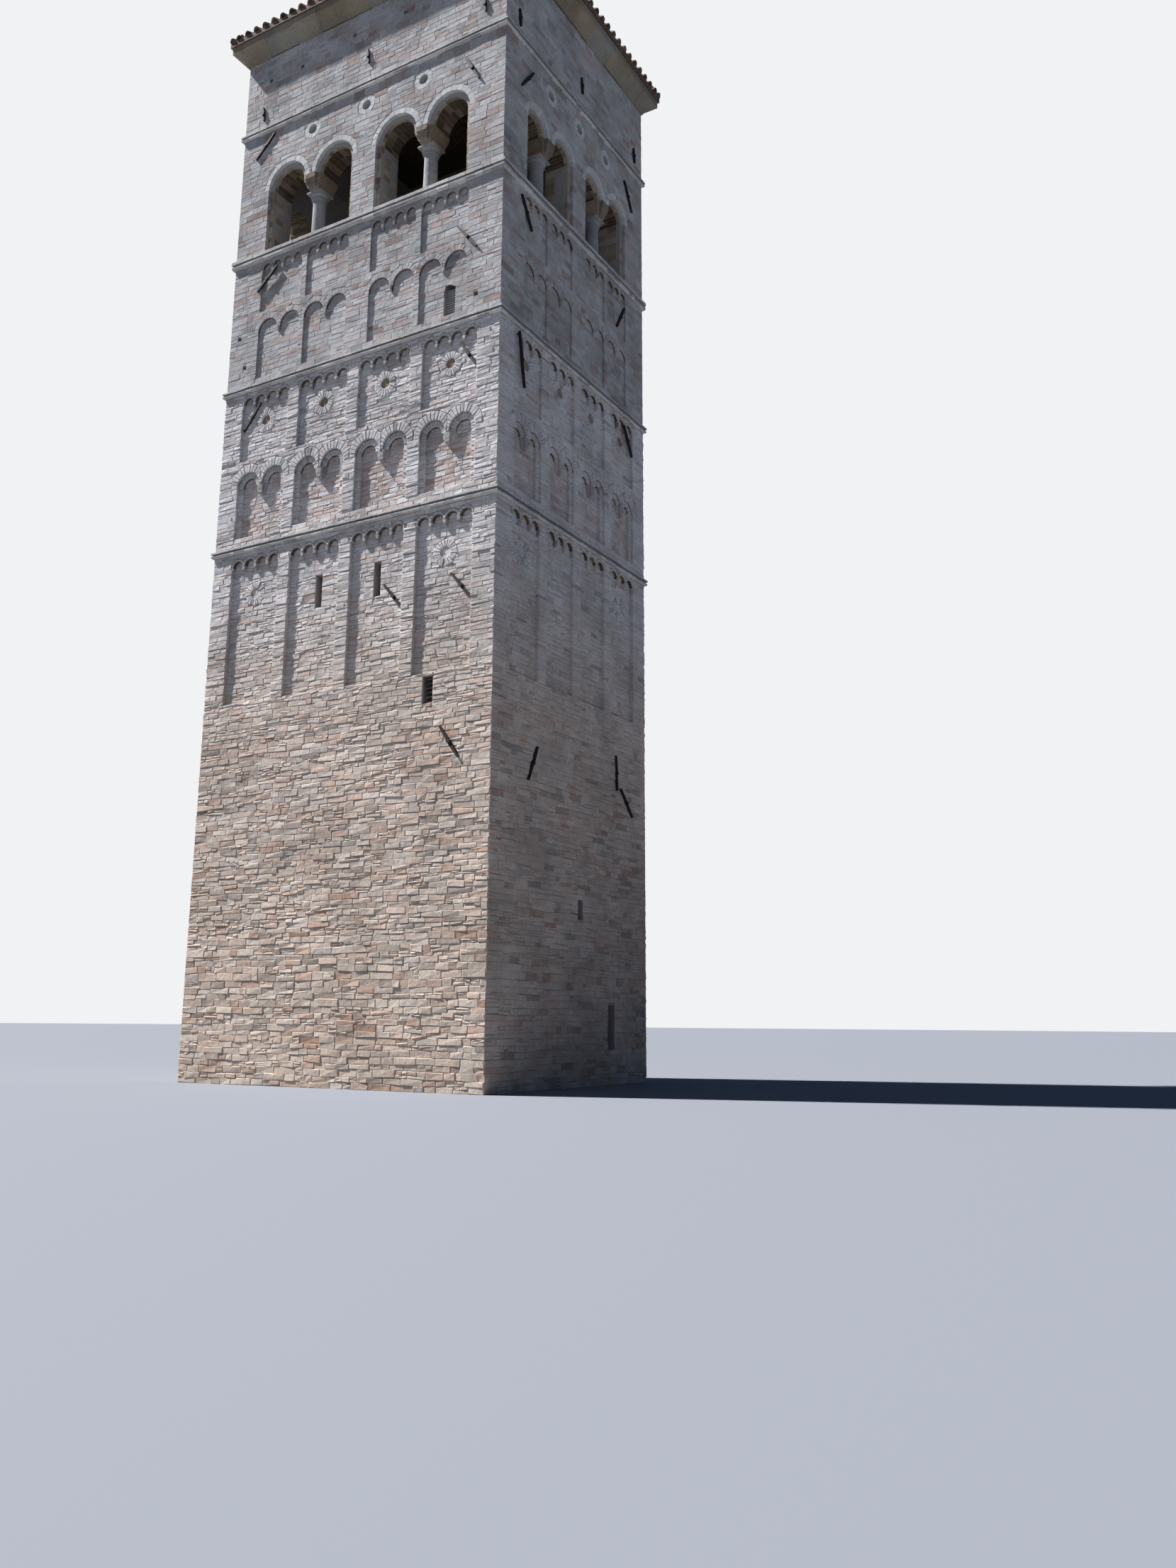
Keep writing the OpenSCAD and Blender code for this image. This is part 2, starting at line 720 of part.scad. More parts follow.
// Half-round tiles bedded on the ridge and the four hips, open a joint where they meet
module ridge_and_hip_tiles() {
    ridge_half = roof_half_w - roof_run;
    top = roof_z + roof_rise(roof_run) + roof_t;
    hip_l = norm([roof_run, roof_run, roof_rise(roof_run)]);
    hip_tilt = acos(roof_rise(roof_run) / hip_l);
    hip_start = cap_r + 2 * joint_gap;
    color(CLAY) intersection() {
        difference() {
            union() {
                translate([-ridge_half, 0, top]) rotate([0, 90, 0])
                    cylinder(r = cap_r, h = 2 * ridge_half);
                for (x = [-1, 1], y = [-1, 1])
                    translate([x * ridge_half, 0, top])
                        rotate([0, 0, x > 0 ? y * 45 : 180 - y * 45])
                            rotate([0, 180 - hip_tilt, 0]) translate([0, 0, hip_start])
                                cylinder(r = cap_r, h = hip_l - hip_start);
            }
            roof_mass();
        }
        translate([-roof_half_w, -roof_run, roof_z])
            cube([2 * roof_half_w, 2 * roof_run, 2 * top]);
    }
}

module window_tiles() {
    pitch = louvre_h / louvre_n;
    color(CLAY) for (i = [0 : louvre_n - 1])
        translate([louvre_x - louvre_w / 2, louvre_in - body_d / 2, 0])
            translate([0, 0, base_h + louvre_rise + (i + 0.3) * pitch])
                rotate([louvre_tilt, 0, 0]) cube([louvre_w, louvre_d, louvre_t]);
}

// A forged bar, slightly bent like an S, with the eye of its tie rod in the middle
module anchor_bar(l) {
    bend = anchor_w * 0.6;
    tip = anchor_w * 0.3;
    rotate([90, 0, 0]) linear_extrude(anchor_t) polygon([
        [bend - tip, -l / 2], [bend + tip, -l / 2], [anchor_w / 2, 0.1 * l], [tip - bend, l / 2],
        [-bend - tip, l / 2], [-anchor_w / 2, -0.1 * l],
    ]);
    rotate([90, 0, 0]) cylinder(d = anchor_w * 1.4, h = anchor_t + anchor_w / 3);
}

// A bar against the wall at u and z: lean turns its top to the left, depth is that of a panel
module anchor(s, u, z, l, lean, depth) {
    translate([u, depth - face_dist(s), z]) rotate([0, -lean, 0]) anchor_bar(l);
}

// Outer edge of a panel in bay i of the lower and middle arcades, or of the upper arcade
function panel_edge(s, i) = bay_u(s, i) + sign(bay_u(s, i)) * bay_w(s) / 2;
function upper_panel_edge(s, i) =
    upper_bay_u(s, i) + sign(upper_bay_u(s, i)) * upper_bay_w(s) / 2;

// Long anchors: middle of the bar along the wall and in height, lean, depth of its seat,
// and its length where that is its own
function long_anchors(s) = let (end = side_len(s) / 2) is_long(s) ? [
    [end - 1200, base_h - 720, 31, 0],
    [panel_edge(s, 2) - 320, lower_top - 2150, 37, lower_panel_d],
    [panel_edge(s, 3) - 350, lower_top - 2210, 37, lower_panel_d],
    [panel_edge(s, 3) - 300, middle_top - 890, 30, middle_panel_d],
    [panel_edge(s, 0) + 360, middle_top - 780, -41, middle_panel_d],
    [end - 1080, upper_top - 1670, 35, 0],
    [1340 - end, upper_top - 650, -52, 0],
    [end - 1070, belfry_top - 920, 25, 0],
    [900 - end, belfry_top - 460, -50, 0],
] : [
    [1810 - end, base_h - 1040, -28, 0],
    [end - 1180, base_h - 1310, 40, 0],
    [end - 1760, base_h - 550, 0, 0],
    [1000 - end, middle_top - 860, 8, 0, tall_anchor_l],
    [panel_edge(s, 3) - 360, middle_top - 700, 27, 0],
    [upper_panel_edge(s, 3) - 290, upper_top - 930, -33, upper_panel_d],
    [1120 - end, upper_top - 660, 29, 0],
    [1060 - end, belfry_top - 950, -40, 0],
    [end - 980, belfry_top - 970, 27, 0],
];

// Short upright anchors under the eaves: place along the wall, and distance below the eaves
function short_anchors(s) = let (end = side_len(s) / 2) is_long(s)
    ? [[730 - end, 1960], [0, 1640], [end - 700, 1740]]
    : [[630 - end, 1990], [80, 1720], [end - 560, 1920]];

module tie_anchors() {
    color(IRON) for (s = [FRONT : LEFT]) on_side(s) {
        for (bar = long_anchors(s))
            anchor(s, bar[0], bar[1], len(bar) > 4 ? bar[4] : anchor_l, bar[2], bar[3]);
        for (bar = short_anchors(s)) anchor(s, bar[0], attic_top - bar[1], short_anchor_l, 0, 0);
    }
}

base_wall(FRONT);  // front_base_wall
base_wall(RIGHT);  // right_base_wall
base_wall(BACK);  // back_base_wall
base_wall(LEFT);  // left_base_wall
lower_arcade(FRONT);  // front_lower_arcade
lower_arcade(RIGHT);  // right_lower_arcade
lower_arcade(BACK);  // back_lower_arcade
lower_arcade(LEFT);  // left_lower_arcade
string_course(lower_top, string_h, middle_t);  // lower_string_course
middle_arcade(FRONT);  // front_middle_arcade
middle_arcade(RIGHT);  // right_middle_arcade
middle_arcade(BACK);  // back_middle_arcade
middle_arcade(LEFT);  // left_middle_arcade
string_course(middle_top, string_h, upper_t);  // middle_string_course
upper_arcade(FRONT);  // front_upper_arcade
upper_arcade(RIGHT);  // right_upper_arcade
upper_arcade(BACK);  // back_upper_arcade
upper_arcade(LEFT);  // left_upper_arcade
string_course(upper_top, sill_h, belfry_t);  // belfry_sill_course
belfry_floor();
belfry_corner_piers();
belfry_middle_piers();
column_bases();
column_shafts();
column_capitals();
column_crutches();
belfry_arches(FRONT);  // front_belfry_arches
belfry_arches(RIGHT);  // right_belfry_arches
belfry_arches(BACK);  // back_belfry_arches
belfry_arches(LEFT);  // left_belfry_arches
round_window_rings();
string_course(belfry_top, string_h, attic_t);  // upper_string_course
attic_wall(FRONT);  // front_attic_wall
attic_wall(RIGHT);  // right_attic_wall
attic_wall(BACK);  // back_attic_wall
attic_wall(LEFT);  // left_attic_wall
eaves_cornice();
roof_slope(FRONT);  // front_roof_slope
roof_slope(RIGHT);  // right_roof_slope
roof_slope(BACK);  // back_roof_slope
roof_slope(LEFT);  // left_roof_slope
ridge_and_hip_tiles();
window_tiles();
tie_anchors();
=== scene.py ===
"""Looks of a stone bell tower: laid rubble and ashlar, voussoirs, moulded courses, tiled roof.

Lengths are metres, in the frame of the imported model: X along the front, the front looks to -Y,
Z up. Each wall is laid out in its own frame: u runs from left to right as seen from outside,
z is height and depth is measured inwards from the face.
"""
import math
import random

import bmesh
import bpy
import numpy as np
from mathutils import Matrix, Vector


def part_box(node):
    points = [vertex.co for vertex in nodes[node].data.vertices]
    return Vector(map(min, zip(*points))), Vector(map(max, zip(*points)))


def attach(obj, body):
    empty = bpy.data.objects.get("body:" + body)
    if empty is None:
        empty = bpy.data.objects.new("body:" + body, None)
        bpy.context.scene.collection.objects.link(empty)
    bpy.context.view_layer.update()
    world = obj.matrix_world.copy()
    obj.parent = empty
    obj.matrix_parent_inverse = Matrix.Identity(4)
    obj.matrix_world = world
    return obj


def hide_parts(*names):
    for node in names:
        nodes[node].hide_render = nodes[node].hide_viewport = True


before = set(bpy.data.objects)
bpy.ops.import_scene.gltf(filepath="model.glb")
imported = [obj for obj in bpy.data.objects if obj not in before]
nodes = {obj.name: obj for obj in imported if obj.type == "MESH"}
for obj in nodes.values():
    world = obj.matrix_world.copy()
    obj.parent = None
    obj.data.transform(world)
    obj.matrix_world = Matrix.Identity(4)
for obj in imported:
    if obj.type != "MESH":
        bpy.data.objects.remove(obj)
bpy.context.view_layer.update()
rng = random.Random(7)

# Sides of the tower, and what is read from the frame
FRONT, RIGHT, BACK, LEFT = range(4)
SIDES = ("front", "right", "back", "left")


def level(node, end):
    """Height of the foot (end 0) or the top (end 1) of a node."""
    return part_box(node)[end].z


BODY_W = 2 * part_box("front_base_wall")[1].x
BODY_D = 2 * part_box("right_base_wall")[1].y
BASE_TOP = level("front_base_wall", 1)
LOWER_TOP = level("front_lower_arcade", 1)
MIDDLE_FOOT = level("front_middle_arcade", 0)
MIDDLE_TOP = level("front_middle_arcade", 1)
UPPER_FOOT = level("front_upper_arcade", 0)
UPPER_TOP = level("front_upper_arcade", 1)
SILL_TOP = level("belfry_corner_piers", 0)
SPRING = level("front_belfry_arches", 0)
BELFRY_TOP = level("front_belfry_arches", 1)
ATTIC_FOOT = level("front_attic_wall", 0)
ATTIC_TOP = level("front_attic_wall", 1)
STRING_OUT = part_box("lower_string_course")[1].x - BODY_W / 2
CORNICE_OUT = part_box("eaves_cornice")[1].x - BODY_W / 2
ROOF_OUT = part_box("front_roof_slope")[1].x - BODY_W / 2

# Sizes of the arcades, as the walls of the frame have them
CORNER_W = 0.680
STRIP_W = {True: 0.385, False: 0.360}
LOWER_PANEL_D = 0.095
MIDDLE_PANEL_D = 0.080
LOWER_PANEL_FOOT = BASE_TOP + 1.100
LOWER_DROP = {True: 0.385, False: 0.290}
MIDDLE_DROP = 0.330
PENDANT_W = 0.110
PENDANT_H = 0.185
ARCHES = {True: 4, False: 3}
NICHE_RISE = 0.270
TWIN_JAMB_H = 1.550
ORDER_1_D = 0.060
ORDER_2_D = 0.080
ORDER_STEP = 0.150
TWIN_GAP = 0.100
TWIN_CORBEL_W = 0.240
TWIN_CORBEL_H = 0.330
MIDDLE_PANEL_FOOT = MIDDLE_FOOT + 2.620
UPPER_CORNER_W = 1.080
THIN_STRIP_W = 0.160
MID_PIER_W = {True: 0.780, False: 0.700}
UPPER_PANEL_D = 0.060
UPPER_NICHE_RISE = 0.200
UPPER_JAMB_H = 1.480
UPPER_PANEL_FOOT = UPPER_FOOT + 2.330
UPPER_DROP = 0.250
BLIND_R = 0.150
BLIND_LIFT = {True: 0.0, False: 0.150}
LOWER_BLIND_DROP = 1.240
MIDDLE_BLIND_DROP = 0.980

# The smooth stone that fills a blind round window
PLUG_PLAY = 0.003
PLUG_T = 0.110
PLUG_CORNERS = 14

# Sizes of the openings
SLITS = ((-0.920, 0.220, BASE_TOP + 3.420, 0.940), (1.070, 0.220, BASE_TOP + 3.420, 0.940))
TILED_WINDOW = (2.880, 0.310, BASE_TOP + 0.320, 0.700)
ARCHED_WINDOW = (3.140, 0.360, UPPER_FOOT + 0.250, 0.850)
SIDE_SLITS = ((0.300, 0.250, 4.180, 0.520), (1.950, 0.360, 0.900, 1.140))
PUTLOG_W = 0.130
UPPER_PUTLOGS = ((0.780, 0.570), (-0.350, 1.670), (-0.630, 0.680))
ATTIC_PUTLOGS = ((-0.930, 0.820), (-2.200, 0.840), (-4.220, 0.640), (3.500, 0.690))

# Sizes of the bell chamber
BELFRY_T = 0.850
BELL_CORNER_W = 1.130
BELL_MID_W = {True: 0.820, False: 0.710}
IMPOST_W = 0.370
BELL_ORDER_D = 0.100
BELL_ORDER_STEP = 0.140
REVEAL_CUTS = (BELL_ORDER_D, 0.22, 0.53, BELFRY_T)
EYE_R = 0.150
EYE_RING_R = 0.310
EYE_Z = BELFRY_TOP - 0.550

# How the stones are laid: the width of a joint, how far a face stands out of the wall and a back
# reaches into it, how far stones pass the edge of a recess and the corner of the tower, the
# smallest stone that is laid, by its mean width and by its area, and corners taken as one
JOINT = 0.010
RUBBLE_PROUD = 0.018
ASHLAR_PROUD = 0.009
BEDDED = 0.015
OVERHANG = 0.012
RUBBLE_LAP = 0.010
ASHLAR_LAP = 0.006
SMALLEST_STONE = 0.021
SMALLEST_AREA = 0.0009
SAME_CORNER = 0.012

# How a course is cut: lengths as shares of the mean length, the shortest stone, the rest that the
# last stone takes in, the lowest course that is split in two beds, and the longest stone whose
# upper half stays whole
LENGTHS = (0.45, 1.6)
SHORTEST = 0.09
REST = 0.12
SPLIT_FROM = 0.1
WHOLE_TO = 0.3
THINNEST_COURSE = 0.045
NARROWEST_RUN = 0.03

# Radiating stones: how far they lap into the opening, how long they are, and how far from the
# opening the stones round them begin
FAN_LAP = 0.010
SOFFIT_LAP = 0.012
RIM = (0.036, 0.085)
ROSETTE_W, ROSETTE_CLEAR = 0.22, 0.20
ROSETTE_STONES = 20
TWIN_FAN_W, TWIN_FAN_CLEAR = 0.25, 0.24
ASHLAR_FAN_W, ASHLAR_FAN_CLEAR = 0.16, 0.155


def is_long(side):
    """Whether a side is as long as the front."""
    return side % 2 == 0


def side_len(side):
    """Width of a side."""
    return BODY_W if is_long(side) else BODY_D


def face_dist(side):
    """Distance of a side's face from the middle of the tower."""
    return (BODY_D if is_long(side) else BODY_W) / 2


def in_wall(side, point):
    """The u, z and depth of a point of the tower in the frame of one of its walls."""
    x, y, z = point
    for _ in range(side):
        x, y = y, -x
    return (x, z, y + face_dist(side))


def place(side, u, z, depth=0.0):
    """A point of a wall's own frame, in the frame of the tower."""
    x, y = u, depth - face_dist(side)
    for _ in range(side):
        x, y = -y, x
    return (x, y, z)


# Colours, nodes and materials


def paint(hex_colour):
    """Linear colour from an sRGB hex value."""
    channels = [int(hex_colour[i:i + 2], 16) / 255 for i in (1, 3, 5)]
    return [c / 12.92 if c <= 0.04045 else ((c + 0.055) / 1.055) ** 2.4 for c in channels] + [1.0]


def add(tree, kind, settings=None, links=None, stops=()):
    """Adds a node, sets its properties and its (position, hex colour) stops, and gives its inputs
    a value or a link."""
    made = tree.nodes.new(kind)
    for name, value in (settings or {}).items():
        setattr(made, name, value)
    for key, value in (links or {}).items():
        socket = made.inputs[key]
        if isinstance(value, bpy.types.NodeSocket):
            tree.links.new(value, socket)
        else:
            socket.default_value = value
    if stops:
        elements = made.color_ramp.elements
        while len(elements) < len(stops):
            elements.new(0.5)
        for element, (position, colour) in zip(elements, stops):
            element.position = position
            element.color = paint(colour)
    return made


def surface(name, patterns):
    """A new material: its tree, its shader, the Object coordinates and its noises. patterns says
    (label, width of a feature in mm, detail, roughness) of each."""
    made = bpy.data.materials.new(name)
    made.use_nodes = True
    tree = made.node_tree
    shader = tree.nodes["Principled BSDF"]
    where = add(tree, "ShaderNodeTexCoord").outputs["Object"]
    noises = {}
    for label, size_mm, detail, roughness in patterns:
        noises[label] = add(tree, "ShaderNodeTexNoise", None, {
            "Vector": where, "Scale": 1000 / size_mm, "Detail": detail, "Roughness": roughness,
        }).outputs["Fac"]
    return made, tree, shader, where, noises


def finish_surface(tree, shader, colour, roughness, reliefs):
    """Gives a shader its colour and roughness, and reliefs of (pattern, strength, depth in mm)."""
    tree.links.new(colour, shader.inputs["Base Color"])
    shader.inputs["Roughness"].default_value = roughness
    normal = None
    for height, strength, depth_mm in reliefs:
        bump = add(tree, "ShaderNodeBump", None, {
            "Height": height, "Strength": strength, "Distance": depth_mm / 1000})
        if normal:
            tree.links.new(normal, bump.inputs["Normal"])
        normal = bump.outputs["Normal"]
    tree.links.new(normal, shader.inputs["Normal"])


def stone(name, tones, mottle, pits_mm, depth_mm, grime=0.35, tint=None, swell_mm=0):
    """Hewn limestone. Every stone has its own tone; mottling and pits come on top of it."""
    made, tree, shader, where, noises = surface(name, (
        ("mottling", 420, 2.0, 0.6), ("speckle", 55, 5.0, 0.7), ("stain", 1500, 4.0, 0.65),
        ("pits", pits_mm, 6.0, 0.72), ("swell", 130, 3.0, 0.5)))
    tone = add(tree, "ShaderNodeAttribute", {"attribute_name": "tone"}).outputs["Fac"]
    mixed = add(tree, "ShaderNodeMath", {"operation": "MULTIPLY_ADD"},
                {0: noises["mottling"], 1: mottle, 2: tone})
    shifted = add(tree, "ShaderNodeMath", {"operation": "SUBTRACT"},
                  {0: mixed.outputs[0], 1: mottle / 2})
    colour = add(tree, "ShaderNodeValToRGB", None, {"Fac": shifted.outputs[0]}, tones).outputs["Color"]
    layers = [(SPECKLE_SHARE, noises["speckle"], SPECKLE), (grime, noises["stain"], STAIN)]
    if tint:
        height = add(tree, "ShaderNodeSeparateXYZ", None, {0: where}).outputs["Z"]
        share = add(tree, "ShaderNodeMath", {"operation": "DIVIDE"}, {0: height, 1: TINT_TOP})
        layers.append((1.0, share.outputs[0], tint))
    for share, factor, stops in layers:
        layer = add(tree, "ShaderNodeValToRGB", None, {"Fac": factor}, stops).outputs["Color"]
        colour = add(tree, "ShaderNodeMix", {"data_type": "RGBA", "blend_type": "MULTIPLY"},
                     {0: share, 6: colour, 7: layer}).outputs[2]
    shader.inputs["Specular IOR Level"].default_value = 0.25
    swell = [(noises["swell"], 1.0, swell_mm)] if swell_mm else []
    finish_surface(tree, shader, colour, 0.92, swell + [(noises["pits"], 0.9, depth_mm)])
    return made


def bedding_mortar():
    """Lime mortar and wall core: sandy, grey-beige, seen in the joints and inside the tower."""
    made, tree, shader, where, noises = surface("lime_mortar_and_core", (("sand", 30, 6.0, 0.7),))
    colour = add(tree, "ShaderNodeValToRGB", None, {"Fac": noises["sand"]}, (
        (0.3, "#8B8580"), (0.55, "#A7A19B"), (0.75, "#BDB8B0"))).outputs["Color"]
    finish_surface(tree, shader, colour, 0.95, [(noises["sand"], 1.0, 12)])
    return made


def fired_clay():
    """Fired clay tile, weathered: pale terracotta with grey and ochre lichen."""
    made, tree, shader, where, noises = surface("weathered_fired_clay", (
        ("lichen", 90, 5.0, 0.7), ("grain", 18, 4.0, 0.6)))
    tone = add(tree, "ShaderNodeAttribute", {"attribute_name": "tone"}).outputs["Fac"]
    clay = add(tree, "ShaderNodeValToRGB", None, {"Fac": tone}, (
        (0.0, "#5E483B"), (0.35, "#7D6152"), (0.65, "#96786A"), (1.0, "#B39A88")))
    lichen = add(tree, "ShaderNodeValToRGB", None, {"Fac": noises["lichen"]}, (
        (0.50, "#000000"), (0.66, "#FFFFFF")))
    colour = add(tree, "ShaderNodeMix", {"data_type": "RGBA"}, {
        0: lichen.outputs["Color"], 6: clay.outputs["Color"], 7: paint("#7F7D70")}).outputs[2]
    finish_surface(tree, shader, colour, 0.9, [(noises["grain"], 0.6, 4)])
    return made


def wrought_iron():
    """Hammered wrought iron under a dark crust of rust: nearly black, dull, slightly brown."""
    made, tree, shader, where, noises = surface("rusted_wrought_iron", (("crust", 40, 5.0, 0.7),))
    colour = add(tree, "ShaderNodeValToRGB", None, {"Fac": noises["crust"]}, (
        (0.35, "#1C1917"), (0.6, "#2F2722"), (0.8, "#4A372B"))).outputs["Color"]
    shader.inputs["Metallic"].default_value = 0.35
    finish_surface(tree, shader, colour, 0.7, [(noises["crust"], 0.7, 4)])
    return made


def old_boards():
    """Sawn softwood boards gone grey: grain drawn out along the board, dry, without sheen."""
    made, tree, shader, where, noises = surface("grey_sawn_boards", (("grain", 300, 5.0, 0.65),))
    drawn_out = add(tree, "ShaderNodeMapping", None, {"Vector": where, "Scale": (1.0, 14.0, 14.0)})
    grain = noises["grain"]
    tree.links.new(drawn_out.outputs[0], grain.node.inputs["Vector"])
    colour = add(tree, "ShaderNodeValToRGB", None, {"Fac": grain}, (
        (0.3, "#4B4238"), (0.55, "#6B5F50"), (0.8, "#857866"))).outputs["Color"]
    finish_surface(tree, shader, colour, 0.88, [(grain, 0.5, 6)])
    return made


# Layers over the tones of a stone: fine speckle, broad stains, and a tint that changes with height,
# warm at the foot and cool above
SPECKLE_SHARE = 0.38
SPECKLE = ((0.32, "#7A746E"), (0.48, "#EDEBE8"), (0.62, "#FFFFFF"))
STAIN = ((0.42, "#FFFFFF"), (0.62, "#8F8B86"))
TINT_TOP = 24.0
HEIGHT_TINT = ((0.0, "#FFEFDF"), (0.38, "#FFF2E6"), (0.55, "#FCFBFD"), (1.0, "#F6F8FF"))

# Tones run from the darkest grey stones of a wall, over the whitest, to the pinkest
RUBBLE_TONES = (
    (0.0, "#B0ACA8"), (0.22, "#DEDCD8"), (0.5, "#D8D1CA"), (0.8, "#D2C1B7"), (1.0, "#BBA599"))
ASHLAR_TONES = (
    (0.0, "#A09F9E"), (0.3, "#C4C4C3"), (0.55, "#BBB6B3"), (0.8, "#B7A59E"), (1.0, "#9D8C85"))
WHITE_TONES = ((0.0, "#BFC0BD"), (0.5, "#D0D1CD"), (1.0, "#DEDDD8"))
# The darkest stop of the string tones is painted shade, given to the groove faces of the string courses
STRING_TONES_WITH_PAINTED_SHADE = ((0.0, "#3C3638"), (0.25, "#9E9C99"), (0.6, "#C0BDB8"), (1.0, "#D6D3CD"))
CRUTCH_TONES = ((0.0, "#6E6152"), (0.5, "#91867A"), (1.0, "#B9B1A6"))
# Soffit tones: the brown of weathered stone, with their dark end darkened further as painted shade
SOFFIT_AND_SHADE_TONES = ((0.0, "#5C4C3B"), (0.45, "#94826B"), (1.0, "#C3B5A0"))
EAVES_TONES = ((0.0, "#5F5A4E"), (0.45, "#857A60"), (0.75, "#9C907A"), (1.0, "#8F8E8A"))

# Hewn stone is dull and pitted, dressed stone smoother; the worn courses also take a near-black tone,
# painted shade in their grooves
RUBBLE = stone("coursed_limestone_rubble", RUBBLE_TONES, 0.30, 45, 8, 0.30, HEIGHT_TINT, 14)
ASHLAR = stone("squared_limestone", ASHLAR_TONES, 0.35, 40, 8, swell_mm=14)
WHITE = stone("white_limestone_dressed", WHITE_TONES, 0.30, 35, 4, 0.15)
WORN = stone("worn_limestone_course", STRING_TONES_WITH_PAINTED_SHADE, 0.45, 50, 12)
SOFFIT = stone("brown_rough_limestone", SOFFIT_AND_SHADE_TONES, 0.40, 50, 16)
CRUTCH = stone("weathered_crutch_limestone", CRUTCH_TONES, 0.7, 60, 14, 0.3, swell_mm=30)
EAVES = stone("ochre_weathered_limestone", EAVES_TONES, 0.45, 60, 8)
MORTAR = bedding_mortar()
CLAY = fired_clay()
IRON = wrought_iron()
BOARDS = old_boards()


# Outlines in the plane of a wall


def cut_off(outline, point, away):
    """The part of a convex outline that lies on the side of point to which away points."""
    kept = []
    for i, a in enumerate(outline):
        b = outline[(i + 1) % len(outline)]
        side_a = (a[0] - point[0]) * away[0] + (a[1] - point[1]) * away[1]
        side_b = (b[0] - point[0]) * away[0] + (b[1] - point[1]) * away[1]
        if side_a >= 0:
            kept.append(a)
        if side_a * side_b < 0:
            t = side_a / (side_a - side_b)
            kept.append((a[0] + t * (b[0] - a[0]), a[1] + t * (b[1] - a[1])))
    return kept


def area(outline):
    """Area of an outline that runs anticlockwise."""
    total = 0.0
    for i, a in enumerate(outline):
        b = outline[(i + 1) % len(outline)]
        total += a[0] * b[1] - b[0] * a[1]
    return total / 2


def shrink(outline, by):
    """Moves every edge of a convex outline inwards."""
    n = len(outline)
    moved = []
    for i in range(n):
        a, b, c = outline[i - 1], outline[i], outline[(i + 1) % n]
        normals = []
        for p, q in ((a, b), (b, c)):
            length = math.hypot(q[0] - p[0], q[1] - p[1]) or 1e-6
            normals.append(((p[1] - q[1]) / length, (q[0] - p[0]) / length))
        (ax, az), (bx, bz) = normals
        scale = by / max(0.35, 1 + ax * bx + az * bz)
        moved.append((b[0] + (ax + bx) * scale, b[1] + (az + bz) * scale))
    return moved


def tidy(outline):
    """Drops corners that nearly coincide."""
    return [p for i, p in enumerate(outline)
            if math.hypot(p[0] - outline[i - 1][0], p[1] - outline[i - 1][1]) > SAME_CORNER]


class Masonry:
    """The stones of one piece: the outline of each on its wall, its thickness and its tone."""

    def __init__(self, name, node, material):
        self.name, self.node, self.material = name, node, material
        self.outlines, self.tall, self.short, self.tone = [], [], [], []

    def lay(self, side, outline, depth, proud, tone, root=BEDDED, joint=JOINT):
        """Adds one stone whose face stands proud of depth and whose back is root behind it."""
        outline = tidy(outline)
        if len(outline) < 3:
            return
        outline = shrink(outline, joint / 2)
        size = area(outline)
        reach = max(math.hypot(p[0] - q[0], p[1] - q[1]) for p in outline for q in outline)
        if size < SMALLEST_AREA or size / reach < SMALLEST_STONE:
            return
        self.outlines.append([place(side, u, z, depth + root) for u, z in outline])
        self.tall.append(root + proud)
        self.short.append(min(size / reach * 1.3, 0.2))
        self.tone.append(tone)


def tone_of(look):
    """A stone's own tone, drawn for its look."""
    return min(1.0, max(0.0, rng.gauss(look["tone"], look["spread"])))


def a_look(length, proud, tone, spread, skew, split, wave, joint):
    """How the stones of a wall are laid: mean length, how far they stand out, mean tone and its
    spread, slant of the joints, share of split courses, waves of the beds and width of a joint."""
    return {"length": length, "proud": proud, "tone": tone, "spread": spread,
            "skew": skew, "split": split, "wave": wave, "joint": joint}


RUBBLE_LOOK = a_look(0.36, RUBBLE_PROUD, 0.40, 0.16, 0.012, 0.12, 0.013, 0.004)
STRIP_LOOK = a_look(0.46, 0.026, 0.36, 0.14, 0.008, 0.03, 0.010, 0.005)
PINK_LOOK = a_look(0.32, 0.014, 0.62, 0.18, 0.010, 0.10, 0.009, 0.005)
WEDGE_LOOK = a_look(0.27, 0.026, 0.30, 0.14, 0.010, 0.0, 0.0, 0.014)
ASHLAR_LOOK = a_look(0.40, ASHLAR_PROUD, 0.42, 0.24, 0.004, 0.10, 0.006, 0.007)
BASE_LOOK = a_look(0.44, 0.018, 0.42, 0.23, 0.014, 0.20, 0.014, 0.004)
WHITE_LOOK = a_look(0.30, 0.004, 0.5, 0.18, 0.002, 0.0, 0.0, 0.005)
# Soffit stones near the dark end of their tones: brown stone with painted shade
BROWN_AND_SHADE_LOOK = a_look(0.27, -0.002, 0.08, 0.2, 0.008, 0.0, 0.0, 0.012)
JAMB_LOOK = a_look(0.27, -0.012, 0.75, 0.2, 0.008, 0.0, 0.0, 0.008)


def beds(foot, top, height, marks=()):
    """Heights of the bed joints from foot to top, with one on each mark."""
    levels = [foot]
    while levels[-1] < top - 1.5 * height:
        levels.append(levels[-1] + height * rng.uniform(0.75, 1.25))
    levels.append(top)
    for mark in sorted(marks):
        if foot < mark < top:
            near = min(range(len(levels)), key=lambda i: abs(levels[i] - mark))
            if abs(levels[near] - mark) < height * 0.45 and 0 < near < len(levels) - 1:
                levels[near] = mark
            else:
                levels.append(mark)
                levels.sort()
    return levels


